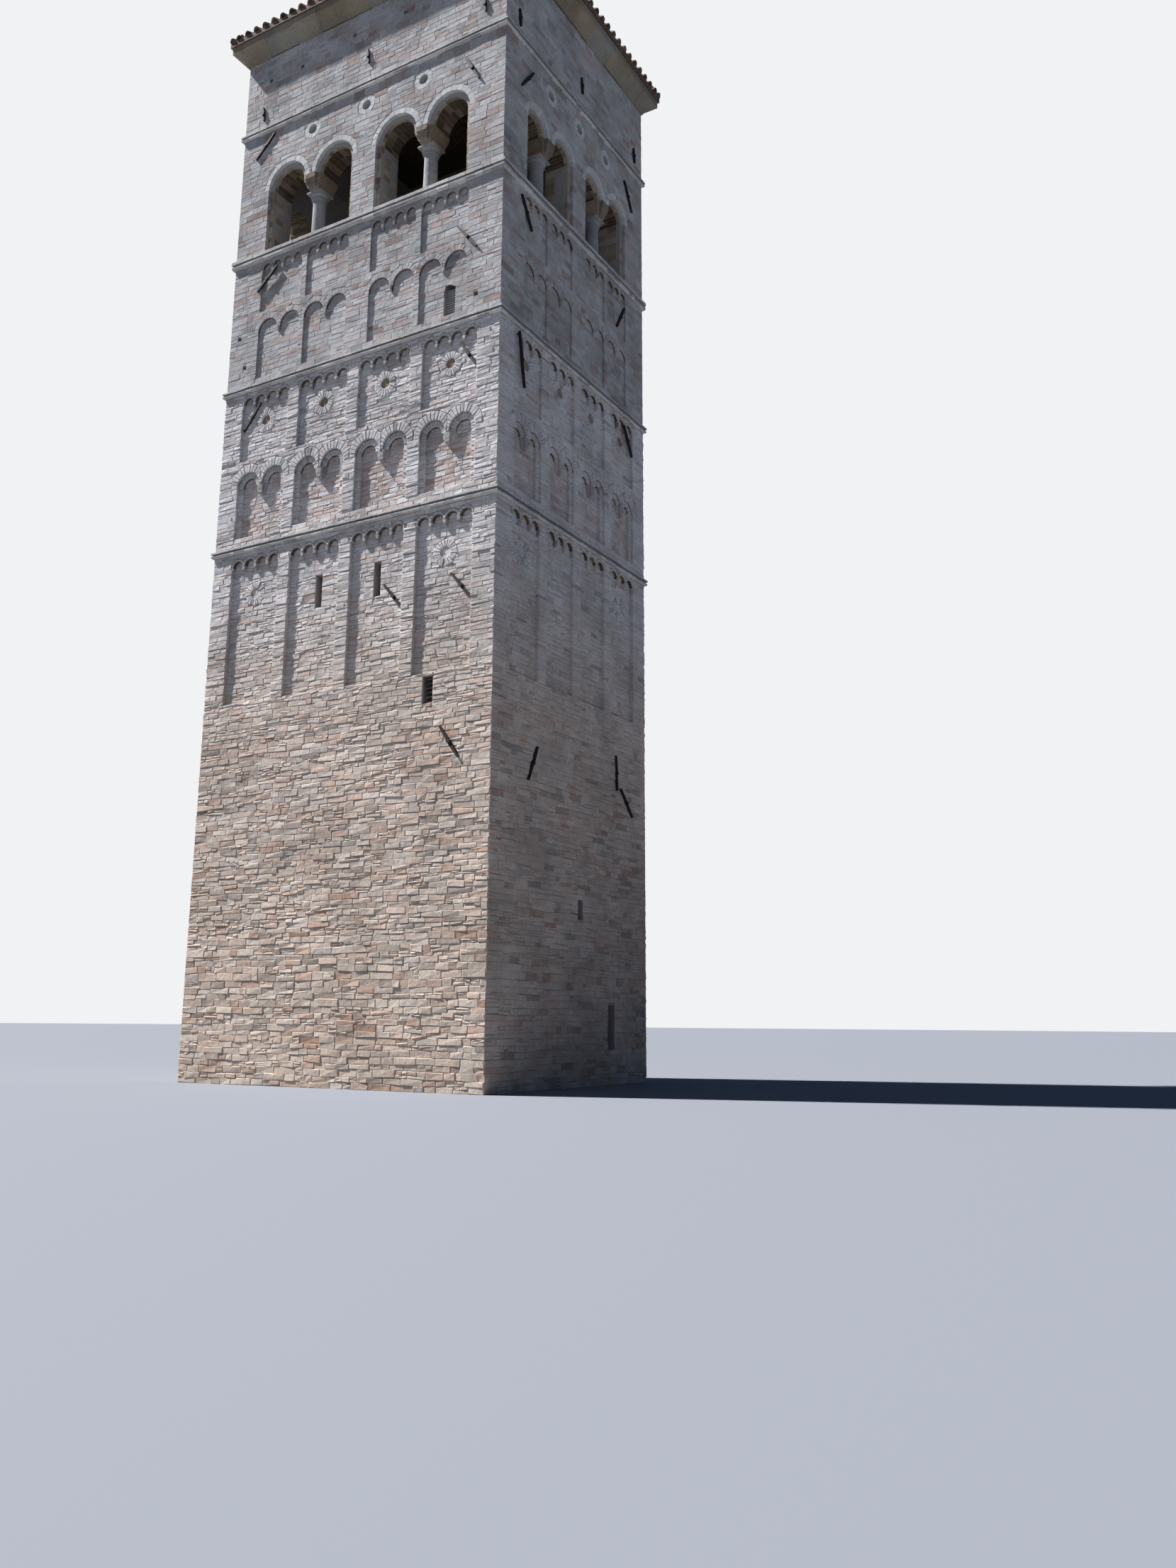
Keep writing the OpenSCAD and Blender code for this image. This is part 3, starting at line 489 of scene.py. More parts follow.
def fill(piece, side, u0, u1, z0, z1, depth, levels, look, holes=(), gaps=(), roots=(0, 0)):
    """Lays courses of stones in a rectangle. holes are circles (u, z, r), gaps are rectangles
    (u, width, z, height), and roots say how deep the recess at the left and right end is."""
    inside = [z for z in levels if z0 + THINNEST_COURSE < z < z1 - THINNEST_COURSE]
    marks = [z0] + inside + [z1]
    for low, high in zip(marks, marks[1:]):
        runs = [(u0, u1)]
        for mid, width, foot, height in gaps:
            if foot < high - NARROWEST_RUN and foot + height > low + NARROWEST_RUN:
                cut = []
                for a, b in runs:
                    cut += [(a, min(b, mid - width / 2)), (max(a, mid + width / 2), b)]
                runs = [(a, b) for a, b in cut if b - a > NARROWEST_RUN]
        for a, b in runs:
            waves = [look["wave"] if z in inside else 0 for z in (low, high)]
            course(piece, side, a, b, low, high, depth, look, holes,
                   roots[0] if a == u0 else 0, roots[1] if b == u1 else 0, waves)


def bed_line(level_z, u, wavy):
    """Height of a bed joint at u. Laid by eye, it rises and falls by a centimetre or so, in a long
    wave with a shorter one over it."""
    if not wavy:
        return level_z
    phase = level_z * 37.0
    return level_z + wavy * (math.sin(u * 1.7 + phase) + 0.6 * math.sin(u * 4.3 + 2.1 * phase))


def cells(left, right, look, tall):
    """Cuts a course into stones: (u, width, foot, head), foot and head as shares of its height."""
    made, u = [], left
    while u < right - 0.01:
        width = max(look["length"] * rng.uniform(*LENGTHS), SHORTEST)
        if right - (u + width) < REST:
            width = right - u
        if tall > SPLIT_FROM and rng.random() < look["split"]:
            middle = rng.uniform(0.4, 0.6)
            part = rng.uniform(0.35, 0.65) if width > WHOLE_TO else 1.0
            made.append((u, width, 0.0, middle))
            made.append((u, width * part, middle, 1.0))
            if part < 1.0:
                made.append((u + width * part, width * (1 - part), middle, 1.0))
        else:
            made.append((u, width, 0.0, 1.0))
        u += width
    return made


def course(piece, side, u0, u1, low, high, depth, look, holes, root_left, root_right, waves):
    """One course of stones between two ends."""
    left = u0 - (OVERHANG if root_left else 0)
    right = u1 + (OVERHANG if root_right else 0)
    for u, width, foot, head in cells(left, right, look, high - low):
        outline = []
        lap = look["joint"] * 0.3
        for at, share, way in ((u, foot, -lap), (u + width, foot, lap), (u + width, head, lap),
                               (u, head, -lap)):
            z_low, z_high = bed_line(low, at, waves[0]), bed_line(high, at, waves[1])
            skew = rng.uniform(-look["skew"], look["skew"])
            outline.append((at + way, z_low + (z_high - z_low) * share + skew))
        for cu, cz, r in holes:
            mid_u, mid_z = u + width / 2, low + (high - low) * (foot + head) / 2
            nearest_u = min(max(cu, u), u + width)
            nearest_z = min(max(cz, low), high)
            if math.hypot(nearest_u - cu, nearest_z - cz) >= r:
                continue
            gap = math.hypot(mid_u - cu, mid_z - cz) or 1e-6
            away = ((mid_u - cu) / gap, (mid_z - cz) / gap)
            outline = cut_off(outline, (cu + away[0] * r, cz + away[1] * r), away)
            if len(outline) < 3:
                break
        if len(outline) >= 3:
            root = max(root_left if u == left else 0, BEDDED,
                       root_right if u + width >= right - 1e-6 else 0)
            proud = look["proud"] * rng.uniform(0.45, 1.25)
            piece.lay(side, outline, depth, proud, tone_of(look), root, look["joint"])


def ring(piece, side, cu, cz, r0, r1, count, depth, look, start=0.0, end=math.pi, root=BEDDED,
         limits=(), joint=0.008, ragged=0.0):
    """Wedge stones round an arch or a round recess. limits are walls (u, +1 or -1) that cut them."""
    step = (end - start) / count
    for i in range(count):
        a0, a1 = start + i * step, start + (i + 1) * step
        far = r1 + rng.uniform(-ragged, ragged)
        outline = [(cu + r0 * math.cos(a0), cz + r0 * math.sin(a0)),
                   (cu + far * math.cos(a0), cz + far * math.sin(a0)),
                   (cu + far * math.cos(a1), cz + far * math.sin(a1)),
                   (cu + r0 * math.cos(a1), cz + r0 * math.sin(a1))]
        for wall, way in limits:
            outline = cut_off(outline, (wall, cz), (way, 0))
            if len(outline) < 3:
                break
        if len(outline) >= 3:
            proud = look["proud"] * rng.uniform(0.6, 1.2)
            piece.lay(side, outline, depth, proud, tone_of(look), root, joint)


def rosette(piece, filling, side, cu, cz, depth, sunk, tone):
    """Long thin stones round a blind round window, which is filled with one smooth stone."""
    ring(piece, side, cu, cz, BLIND_R - FAN_LAP, BLIND_R + ROSETTE_W, ROSETTE_STONES, depth,
         WEDGE_LOOK, 0.1, 0.1 + 2 * math.pi, joint=0.012, ragged=0.03)
    r = BLIND_R - PLUG_PLAY
    disc = [(cu + r * math.cos(a), cz + r * math.sin(a))
            for a in (2 * math.pi * i / PLUG_CORNERS for i in range(PLUG_CORNERS))]
    filling.lay(side, disc, depth + sunk, 0.0, tone, PLUG_T, 0.0)


# Geometry Nodes


def new_tree(name, inputs):
    """An empty tree with a geometry input, the given inputs and a geometry output."""
    tree = bpy.data.node_groups.new(name, "GeometryNodeTree")
    tree.is_modifier = True
    tree.interface.new_socket("Geometry", in_out="INPUT", socket_type="NodeSocketGeometry")
    for label, kind in inputs:
        tree.interface.new_socket(label, in_out="INPUT", socket_type="NodeSocket" + kind)
    tree.interface.new_socket("Geometry", in_out="OUTPUT", socket_type="NodeSocketGeometry")
    return tree, tree.nodes.new("NodeGroupInput").outputs, tree.nodes.new("NodeGroupOutput").inputs


def hewn_stones_tree():
    """Turns every flat outline into a closed stone with a rounded, slightly uneven face."""
    tree, given, out = new_tree("hewn_stones", (
        ("Edge", "Float"), ("Ends", "Float"), ("Unevenness", "Float"), ("Seed", "Int"),
        ("Material", "Material")))
    flat = given["Geometry"]
    tall, short = (add(tree, "GeometryNodeInputNamedAttribute", {"data_type": "FLOAT"},
                       {"Name": name}).outputs["Attribute"] for name in ("tall", "short"))
    body = add(tree, "ShaderNodeMath", {"operation": "SUBTRACT"}, {0: tall, 1: given["Edge"]})
    sides = add(tree, "GeometryNodeExtrudeMesh", {"mode": "FACES"}, {
        "Mesh": flat, "Offset Scale": body.outputs[0], "Individual": True})
    cap = add(tree, "GeometryNodeExtrudeMesh", {"mode": "FACES"}, {
        "Mesh": sides.outputs["Mesh"], "Selection": sides.outputs["Top"],
        "Offset Scale": given["Edge"], "Individual": True})
    share = add(tree, "ShaderNodeMath", {"operation": "DIVIDE"}, {0: given["Edge"], 1: short})
    scale = add(tree, "ShaderNodeMath", {"operation": "MULTIPLY_ADD"},
                {0: share.outputs[0], 1: -2.0, 2: 1.0})
    kept = add(tree, "ShaderNodeMath", {"operation": "MAXIMUM"}, {0: scale.outputs[0], 1: 0.45})
    lost = add(tree, "ShaderNodeMath", {"operation": "SUBTRACT"}, {0: kept.outputs[0], 1: 1.0})
    ends = add(tree, "ShaderNodeMath", {"operation": "MULTIPLY_ADD"},
               {0: lost.outputs[0], 1: given["Ends"], 2: 1.0})
    beds_too = add(tree, "ShaderNodeMath", {"operation": "DIVIDE"},
                   {0: kept.outputs[0], 1: ends.outputs[0]})
    even = add(tree, "GeometryNodeScaleElements", {"domain": "FACE"}, {
        "Geometry": cap.outputs["Mesh"], "Selection": cap.outputs["Top"], "Scale": ends.outputs[0]})
    face = add(tree, "GeometryNodeScaleElements", {"domain": "FACE", "scale_mode": "SINGLE_AXIS"}, {
        "Geometry": even.outputs[0], "Selection": cap.outputs["Top"], "Scale": beds_too.outputs[0],
        "Axis": (0.0, 0.0, 1.0)})
    low = add(tree, "ShaderNodeVectorMath", {"operation": "SCALE"},
              {0: (-1.0, -1.0, -1.0), "Scale": given["Unevenness"]})
    high = add(tree, "ShaderNodeVectorMath", {"operation": "SCALE"},
               {0: (1.0, 1.0, 1.0), "Scale": given["Unevenness"]})
    shift = add(tree, "FunctionNodeRandomValue", {"data_type": "FLOAT_VECTOR"},
                {0: low.outputs[0], 1: high.outputs[0], "Seed": given["Seed"]})
    uneven = add(tree, "GeometryNodeSetPosition", None, {
        "Geometry": face.outputs[0], "Selection": cap.outputs["Top"], "Offset": shift.outputs[0]})
    back = add(tree, "GeometryNodeFlipFaces", None, {"Mesh": flat})
    both = add(tree, "GeometryNodeJoinGeometry")
    tree.links.new(back.outputs[0], both.inputs[0])
    tree.links.new(uneven.outputs[0], both.inputs[0])
    closed = add(tree, "GeometryNodeMergeByDistance", None,
                 {"Geometry": both.outputs[0], "Distance": 0.0002})
    shaded = add(tree, "GeometryNodeSetShadeSmooth", None,
                 {"Geometry": closed.outputs[0], "Shade Smooth": False})
    finish = add(tree, "GeometryNodeSetMaterial", None,
                 {"Geometry": shaded.outputs[0], "Material": given["Material"]})
    tree.links.new(finish.outputs[0], out["Geometry"])
    return tree


def set_pieces_tree():
    """Sets a copy of one piece on every point, turned and sized by the point's own values."""
    tree, given, out = new_tree("set_pieces", (("Piece", "Object"), ("Material", "Material")))
    piece = add(tree, "GeometryNodeObjectInfo", None, {"Object": given["Piece"]})
    angles, size = (add(tree, "GeometryNodeInputNamedAttribute", {"data_type": "FLOAT_VECTOR"},
                        {"Name": name}).outputs["Attribute"] for name in ("turn", "size"))
    turn = add(tree, "FunctionNodeEulerToRotation", None, {0: angles})
    copies = add(tree, "GeometryNodeInstanceOnPoints", None, {
        "Points": given["Geometry"], "Instance": piece.outputs["Geometry"],
        "Rotation": turn.outputs[0], "Scale": size})
    real = add(tree, "GeometryNodeRealizeInstances", None, {"Geometry": copies.outputs[0]})
    finish = add(tree, "GeometryNodeSetMaterial", None,
                 {"Geometry": real.outputs[0], "Material": given["Material"]})
    tree.links.new(finish.outputs[0], out["Geometry"])
    return tree


HEWN_STONES = hewn_stones_tree()
SET_PIECES = set_pieces_tree()


def link(obj):
    """Puts an object into the scene."""
    bpy.context.scene.collection.objects.link(obj)
    return obj


def mesh_object(name, points, faces=()):
    """A new object from points and faces."""
    mesh = bpy.data.meshes.new(name)
    mesh.from_pydata(points, [], faces)
    return link(bpy.data.objects.new(name, mesh))


def store(mesh, name, kind, domain, values):
    """Keeps one value for every point or face of a mesh."""
    layer = mesh.attributes.new(name, kind, domain)
    slot = "vector" if kind == "FLOAT_VECTOR" else "value"
    layer.data.foreach_set(slot, np.array(values, np.float32).ravel())


def grown(obj, tree, values):
    """Runs a tree on an object and returns the plain mesh object that it makes."""
    modifier = obj.modifiers.new("grow", "NODES")
    modifier.node_group = tree
    sockets = {s.name: s.identifier for s in tree.interface.items_tree if s.in_out == "INPUT"}
    for name, value in values.items():
        modifier[sockets[name]] = value
    evaluated = obj.evaluated_get(bpy.context.evaluated_depsgraph_get())
    mesh = bpy.data.meshes.new_from_object(evaluated)
    name = obj.name
    old = obj.data
    bpy.data.objects.remove(obj)
    bpy.data.meshes.remove(old)
    mesh.name = name
    return link(bpy.data.objects.new(name, mesh))


def finish_piece(obj):
    """The piece rides on the tower: it is parented to the tower's root."""
    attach(obj, "root")
    return obj


def build_masonry(piece, edge, unevenness, ends=1.0):
    """Makes the closed stones of a piece from its outlines."""
    if not piece.outlines:
        return None
    points, faces = [], []
    for outline in piece.outlines:
        faces.append(range(len(points), len(points) + len(outline)))
        points += outline
    flat = mesh_object(piece.name, points, [list(f) for f in faces])
    store(flat.data, "tall", "FLOAT", "FACE", piece.tall)
    store(flat.data, "short", "FLOAT", "FACE", piece.short)
    store(flat.data, "tone", "FLOAT", "FACE", piece.tone)
    made = grown(flat, HEWN_STONES, {
        "Edge": edge, "Ends": ends, "Unevenness": unevenness, "Seed": len(piece.outlines),
        "Material": piece.material})
    return finish_piece(made)


def set_copies(name, piece, material, spots):
    """Copies of a piece at spots: (point, turn, size, tone) each."""
    cloud = mesh_object(name, [s[0] for s in spots])
    store(cloud.data, "turn", "FLOAT_VECTOR", "POINT", [s[1] for s in spots])
    store(cloud.data, "size", "FLOAT_VECTOR", "POINT", [s[2] for s in spots])
    store(cloud.data, "tone", "FLOAT", "POINT", [s[3] for s in spots])
    return finish_piece(grown(cloud, SET_PIECES, {"Piece": piece, "Material": material}))


# Where the arcades, the lights and their small arches are


def bays(side):
    """Middle and width of the four bays of the lower and middle arcades."""
    strip = STRIP_W[is_long(side)]
    width = (side_len(side) - 2 * CORNER_W - 3 * strip) / 4
    return [((i - 1.5) * (width + strip), width) for i in range(4)]


def upper_bays(side):
    pier = MID_PIER_W[is_long(side)]
    width = (side_len(side) - 2 * UPPER_CORNER_W - 2 * THIN_STRIP_W - pier) / 4
    inner, outer = pier / 2 + width / 2, pier / 2 + width * 1.5 + THIN_STRIP_W
    return [(-outer, width), (-inner, width), (inner, width), (outer, width)]


def lights(side):
    """Middle and width of the four openings, and the middles of the two pairs."""
    mid = BELL_MID_W[is_long(side)]
    width = (side_len(side) - 2 * BELL_CORNER_W - mid - 2 * IMPOST_W) / 4
    pair = mid / 2 + width + IMPOST_W / 2
    half = (IMPOST_W + width) / 2
    return [-pair - half, -pair + half, pair - half, pair + half], width, (-pair, pair)


def between(spans, u0, u1):
    """The runs of u that are left between spans (middle, width)."""
    runs, at = [], u0
    for mid, width in spans:
        runs.append((at, mid - width / 2))
        at = mid + width / 2
    return runs + [(at, u1)]


def small_arches(piece, soffits, side, mid, width, spring, depth, look):
    """The row of small arches over a bay, and the circles that the stones above keep clear of."""
    count = ARCHES[is_long(side)]
    pitch = width / count
    r = (pitch - PENDANT_W) / 2
    circles = []
    for i in range(count):
        u = mid + (i - (count - 1) / 2) * pitch
        limits = ((u - pitch / 2, 1), (u + pitch / 2, -1))
        ring(piece, side, u, spring, r + RIM[0], r + RIM[1], 6, 0.0, look, root=0.020, limits=limits,
             joint=0.004)
        # A brown band on the face round each small arch, carried back as its soffit: brown stone
        # darkened with painted shade
        ring(soffits, side, u, spring, r - SOFFIT_LAP, r + RIM[0] + 0.002, 6, 0.0, BROWN_AND_SHADE_LOOK,
             root=depth, limits=limits, joint=0.003)
        circles.append((u, spring, r + RIM[1]))
    return circles


def hangings(side, spans, spring):
    """The stones that hang between and beside the small arches: (u, foot, half width, height)."""
    count = ARCHES[is_long(side)]
    return [(mid - width / 2 + i * width / count, spring - PENDANT_H, PENDANT_W / 2, PENDANT_H)
            for mid, width in spans for i in range(count + 1)]


def narrowing(t):
    """Share of its width that a hanging stone keeps at a share t of its height."""
    return 0.30 + 0.70 * max(t, 0.0) ** 0.6


def hanging_stone():
    """A unit stone: 1 wide, 1 deep and 1 high at its head, narrow at its foot, its back at y = 0."""
    points, faces = [], []
    steps = (0.0, 0.1, 0.25, 0.5, 0.75, 1.0)
    for t in steps:
        half = narrowing(t) / 2
        out = max(0.12, math.sqrt(1 - max(0.0, 1 - t / 0.5) ** 2))
        points += [(-half, 0, t), (half, 0, t), (half, -out * 0.8, t), (half * 0.7, -out, t),
                   (-half * 0.7, -out, t), (-half, -out * 0.8, t)]
    for i in range(len(steps) - 1):
        for k in range(6):
            a, b = 6 * i + k, 6 * i + (k + 1) % 6
            faces.append([b, a, a + 6, b + 6])
    faces += [[0, 1, 2, 3, 4, 5], [6 * len(steps) - 1 - k for k in range(6)]]
    return mesh_object("hanging_stone", points, faces)


def hanging_spots(side, stones, depth, front=0.0):
    """Where copies of the unit stone go. front and depth say where the stones begin and end."""
    return [(place(side, u, foot, depth), (0, 0, side * math.pi / 2),
             (2 * half + 0.008, depth - front + 0.006, height + 0.004), tone_of(RUBBLE_LOOK))
            for u, foot, half, height in stones]


def build_core(side, node, stones):
    """The wall behind the stones, as the frame has it, its hanging stones narrowing to the foot."""
    plain = nodes[node]
    mesh = plain.data.copy()
    mesh.transform(plain.matrix_world)
    for vertex in mesh.vertices:
        u, z, depth = in_wall(side, vertex.co)
        for mid, foot, half, height in stones:
            t = (z - foot) / height
            if -0.01 < t < 0.99 and abs(u - mid) < half + 0.003 and depth < 0.2:
                vertex.co = place(side, mid + (u - mid) * narrowing(t), z, depth)
    mesh.materials.clear()
    mesh.materials.append(MORTAR)
    obj = link(bpy.data.objects.new(node + "_core", mesh))
    finish_piece(obj)
    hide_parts(node)


# Laying the walls


def lay_base(side, levels):
    """The plain rubble of the foot."""
    piece = Masonry(SIDES[side] + "_base_stones", SIDES[side] + "_base_wall", RUBBLE)
    end = side_len(side) / 2 + RUBBLE_LAP
    gaps = SIDE_SLITS if side == RIGHT else ()
    fill(piece, side, -end, end, 0.0, BASE_TOP, 0.0, levels, BASE_LOOK, gaps=gaps)
    return piece


def lay_lower(side, levels):
    """The lower storey: panels between strips, with small arches over each."""
    node = SIDES[side] + "_lower_arcade"
    piece = Masonry(node + "_stones", node, RUBBLE)
    soffits = Masonry(node + "_soffits", node, SOFFIT)
    fans = Masonry(node + "_radiating_stones", node, RUBBLE)
    end = side_len(side) / 2 + RUBBLE_LAP
    spring = LOWER_TOP - LOWER_DROP[is_long(side)]
    blind = LOWER_TOP - LOWER_BLIND_DROP + BLIND_LIFT[is_long(side)]
    gaps = SLITS + (TILED_WINDOW,) if side == FRONT else ()
    spans = bays(side)
    fill(piece, side, -end, end, BASE_TOP, LOWER_PANEL_FOOT, 0.0, levels, RUBBLE_LOOK, gaps=gaps)
    runs = between(spans, -end, end)
    for i, (a, b) in enumerate(runs):
        roots = (LOWER_PANEL_D if i else 0, LOWER_PANEL_D if i < 4 else 0)
        fill(piece, side, a, b, LOWER_PANEL_FOOT, spring, 0.0, levels, STRIP_LOOK, roots=roots)
    hung = hangings(side, spans, spring)
    spots = hanging_spots(side, hung, LOWER_PANEL_D)
    circles = []
    for i, (mid, width) in enumerate(spans):
        a, b = mid - width / 2, mid + width / 2
        holes = []
        if i in (0, 3):
            holes = [(mid, blind, BLIND_R + ROSETTE_CLEAR)]
            rosette(fans, fans, side, mid, blind, LOWER_PANEL_D, 0.006, 0.35)
        fill(piece, side, a, b, LOWER_PANEL_FOOT, spring + 0.17, LOWER_PANEL_D, levels,
             RUBBLE_LOOK, holes, gaps)
        circles += small_arches(piece, soffits, side, mid, width, spring, LOWER_PANEL_D, RUBBLE_LOOK)
    fill(piece, side, -end, end, spring, LOWER_TOP, 0.0, levels, RUBBLE_LOOK, circles)
    return piece, soffits, fans, spots, hung


def lay_middle(side, levels):
    """The middle storey: twin blind arches in two orders, with low panels over them."""
    node = SIDES[side] + "_middle_arcade"
    piece = Masonry(node + "_stones", node, RUBBLE)
    soffits = Masonry(node + "_soffits", node, SOFFIT)
    fans = Masonry(node + "_radiating_stones", node, RUBBLE)
    end = side_len(side) / 2 + RUBBLE_LAP
    niche = MIDDLE_FOOT + NICHE_RISE
    twin = niche + TWIN_JAMB_H
    spring = MIDDLE_TOP - MIDDLE_DROP
    blind = MIDDLE_TOP - MIDDLE_BLIND_DROP + BLIND_LIFT[is_long(side)]
    spans = bays(side)
    strip = STRIP_W[is_long(side)]
    fill(piece, side, -end, end, MIDDLE_FOOT, niche, 0.0, levels, RUBBLE_LOOK)
    runs = between(spans, -end, end)
    for i, (a, b) in enumerate(runs):
        roots = (ORDER_1_D if i else 0, ORDER_1_D if i < 4 else 0)
        fill(piece, side, a, b, niche, twin, 0.0, levels, STRIP_LOOK, roots=roots)
        roots = (MIDDLE_PANEL_D if i else 0, MIDDLE_PANEL_D if i < 4 else 0)
        fill(piece, side, a, b, MIDDLE_PANEL_FOOT, spring, 0.0, levels, STRIP_LOOK, roots=roots)
    hung = hangings(side, spans, spring)
    spots = hanging_spots(side, hung, MIDDLE_PANEL_D)
    rings, circles = [], []
    for i, (mid, width) in enumerate(spans):
        span = (width - TWIN_GAP) / 2
        inner_r = span / 2 - ORDER_STEP
        a, b = mid - width / 2, mid + width / 2
        for way in (-1, 1):
            u = mid + way * (width - span) / 2
            outer_limit = 0.9 if (i == 0 and way < 0) or (i == 3 and way > 0) else strip / 2
            limits = ((mid, way), (mid + way * (width / 2 + outer_limit), -way))
            ring(fans, side, u, twin, span / 2 - FAN_LAP, span / 2 + TWIN_FAN_W, 15, 0.0,
                 WEDGE_LOOK, root=0.025, limits=limits, joint=0.013, ragged=0.02)
            # Brown soffit bands inside both orders: brown stone darkened with painted shade
            ring(soffits, side, u, twin, span / 2 - SOFFIT_LAP, span / 2 + 0.05, 9, 0.035,
                 BROWN_AND_SHADE_LOOK, root=ORDER_1_D - 0.035, limits=limits, joint=0.002)
            rings.append((u, twin, span / 2 + TWIN_FAN_CLEAR))
            ring(fans, side, u, twin, inner_r - FAN_LAP, span / 2, 13, ORDER_1_D, WEDGE_LOOK,
                 root=0.030)
            ring(soffits, side, u, twin, inner_r - SOFFIT_LAP, inner_r + 0.04, 9, ORDER_1_D + 0.040,
                 BROWN_AND_SHADE_LOOK, root=ORDER_2_D - 0.040, joint=0.002)
            jamb = mid + way * width / 2
            edge = sorted((jamb, jamb - way * ORDER_STEP))
            roots = (ORDER_2_D, 0) if way > 0 else (0, ORDER_2_D)
            fill(piece, side, *edge, niche, twin, ORDER_1_D, levels, RUBBLE_LOOK, roots=roots)
        half = max(TWIN_CORBEL_W / 2, width / 2 - ORDER_STEP - 2 * inner_r)
        outer = (mid, twin - TWIN_CORBEL_H, TWIN_CORBEL_W / 2, TWIN_CORBEL_H)
        inner = (mid, twin - TWIN_CORBEL_H, half, TWIN_CORBEL_H)
        spots += hanging_spots(side, [outer], ORDER_1_D)
        spots += hanging_spots(side, [inner], ORDER_1_D + ORDER_2_D, ORDER_1_D)
        hung.append(inner)
        fill(piece, side, a + ORDER_STEP, b - ORDER_STEP, niche, twin + inner_r - 0.03,
             ORDER_1_D + ORDER_2_D, levels, PINK_LOOK)
        holes = [(mid, blind, BLIND_R + ROSETTE_CLEAR)]
        rosette(fans, soffits, side, mid, blind, MIDDLE_PANEL_D, 0.020, 0.60)
        fill(piece, side, a, b, MIDDLE_PANEL_FOOT, spring + 0.17, MIDDLE_PANEL_D, levels,
             RUBBLE_LOOK, holes)
        circles += small_arches(piece, soffits, side, mid, width, spring, MIDDLE_PANEL_D, RUBBLE_LOOK)
    fill(piece, side, -end, end, twin, MIDDLE_PANEL_FOOT, 0.0, levels, RUBBLE_LOOK, rings)
    fill(piece, side, -end, end, spring, MIDDLE_TOP, 0.0, levels, RUBBLE_LOOK, circles)
    return piece, soffits, fans, spots, hung


def putlog_gaps(side, putlogs, level_of):
    """Square gaps for the scaffold holes; they are given from the right end, or the left end."""
    end = side_len(side) / 2
    return tuple((math.copysign(end, u) - u, PUTLOG_W, level_of(z) - PUTLOG_W / 2, PUTLOG_W)
                 for u, z in putlogs)


def lay_upper(side, levels):
    """The upper storey of squared stone: shallow twin arches, with panels over them."""
    node = SIDES[side] + "_upper_arcade"
    piece = Masonry(node + "_stones", node, ASHLAR)
    soffits = Masonry(node + "_soffits", node, SOFFIT)
    end = side_len(side) / 2 + ASHLAR_LAP
    niche = UPPER_FOOT + UPPER_NICHE_RISE
    twin = niche + UPPER_JAMB_H
    spring = UPPER_TOP - UPPER_DROP
    spans = upper_bays(side)
    gaps = putlog_gaps(side, UPPER_PUTLOGS, lambda z: UPPER_FOOT + z) if is_long(side) else ()
    heads = []
    if side == FRONT:
        mid, width, foot, height = ARCHED_WINDOW
        gaps += ((mid, width, foot, height - width / 2),)
        heads = [(mid, foot + height - width / 2, width / 2 + 0.004)]
    fill(piece, side, -end, end, UPPER_FOOT, niche, 0.0, levels, ASHLAR_LOOK, gaps=gaps)
    runs = between(spans, -end, end)
    for i, (a, b) in enumerate(runs):
        roots = (UPPER_PANEL_D if i else 0, UPPER_PANEL_D if i < 4 else 0)
        for z0, z1 in ((niche, twin), (UPPER_PANEL_FOOT, spring)):
            fill(piece, side, a, b, z0, z1, 0.0, levels, ASHLAR_LOOK, gaps=gaps, roots=roots)
    hung = hangings(side, spans, spring)
    hung += [(mid, twin - PENDANT_H, TWIN_GAP / 2, PENDANT_H) for mid, width in spans]
    spots = hanging_spots(side, hung, UPPER_PANEL_D)
    rings, circles = [], []
    for i, (mid, width) in enumerate(spans):
        span = (width - TWIN_GAP) / 2
        a, b = mid - width / 2, mid + width / 2
        for way in (-1, 1):
            u = mid + way * (width - span) / 2
            inner_strip = (i in (0, 2) and way > 0) or (i in (1, 3) and way < 0)
            outer_limit = THIN_STRIP_W / 2 if inner_strip else 0.4
            limits = ((mid, way), (mid + way * (width / 2 + outer_limit), -way))
            ring(piece, side, u, twin, span / 2 - FAN_LAP, span / 2 + ASHLAR_FAN_W, 13, 0.0,
                 ASHLAR_LOOK, root=0.020, limits=limits, joint=0.006, ragged=0.01)
            ring(soffits, side, u, twin, span / 2 - SOFFIT_LAP, span / 2 + 0.03, 7, 0.030,
                 BROWN_AND_SHADE_LOOK, root=UPPER_PANEL_D - 0.030, limits=limits, joint=0.002)
            rings.append((u, twin, span / 2 + ASHLAR_FAN_CLEAR))
        for z0, z1 in ((niche, twin + span / 2), (UPPER_PANEL_FOOT, spring + 0.12)):
            fill(piece, side, a, b, z0, z1, UPPER_PANEL_D, levels, ASHLAR_LOOK, heads, gaps)
        circles += small_arches(piece, soffits, side, mid, width, spring, UPPER_PANEL_D, ASHLAR_LOOK)
    fill(piece, side, -end, end, twin, UPPER_PANEL_FOOT, 0.0, levels, ASHLAR_LOOK, rings, gaps)
    fill(piece, side, -end, end, spring, UPPER_TOP, 0.0, levels, ASHLAR_LOOK, circles)
    return piece, soffits, None, spots, hung


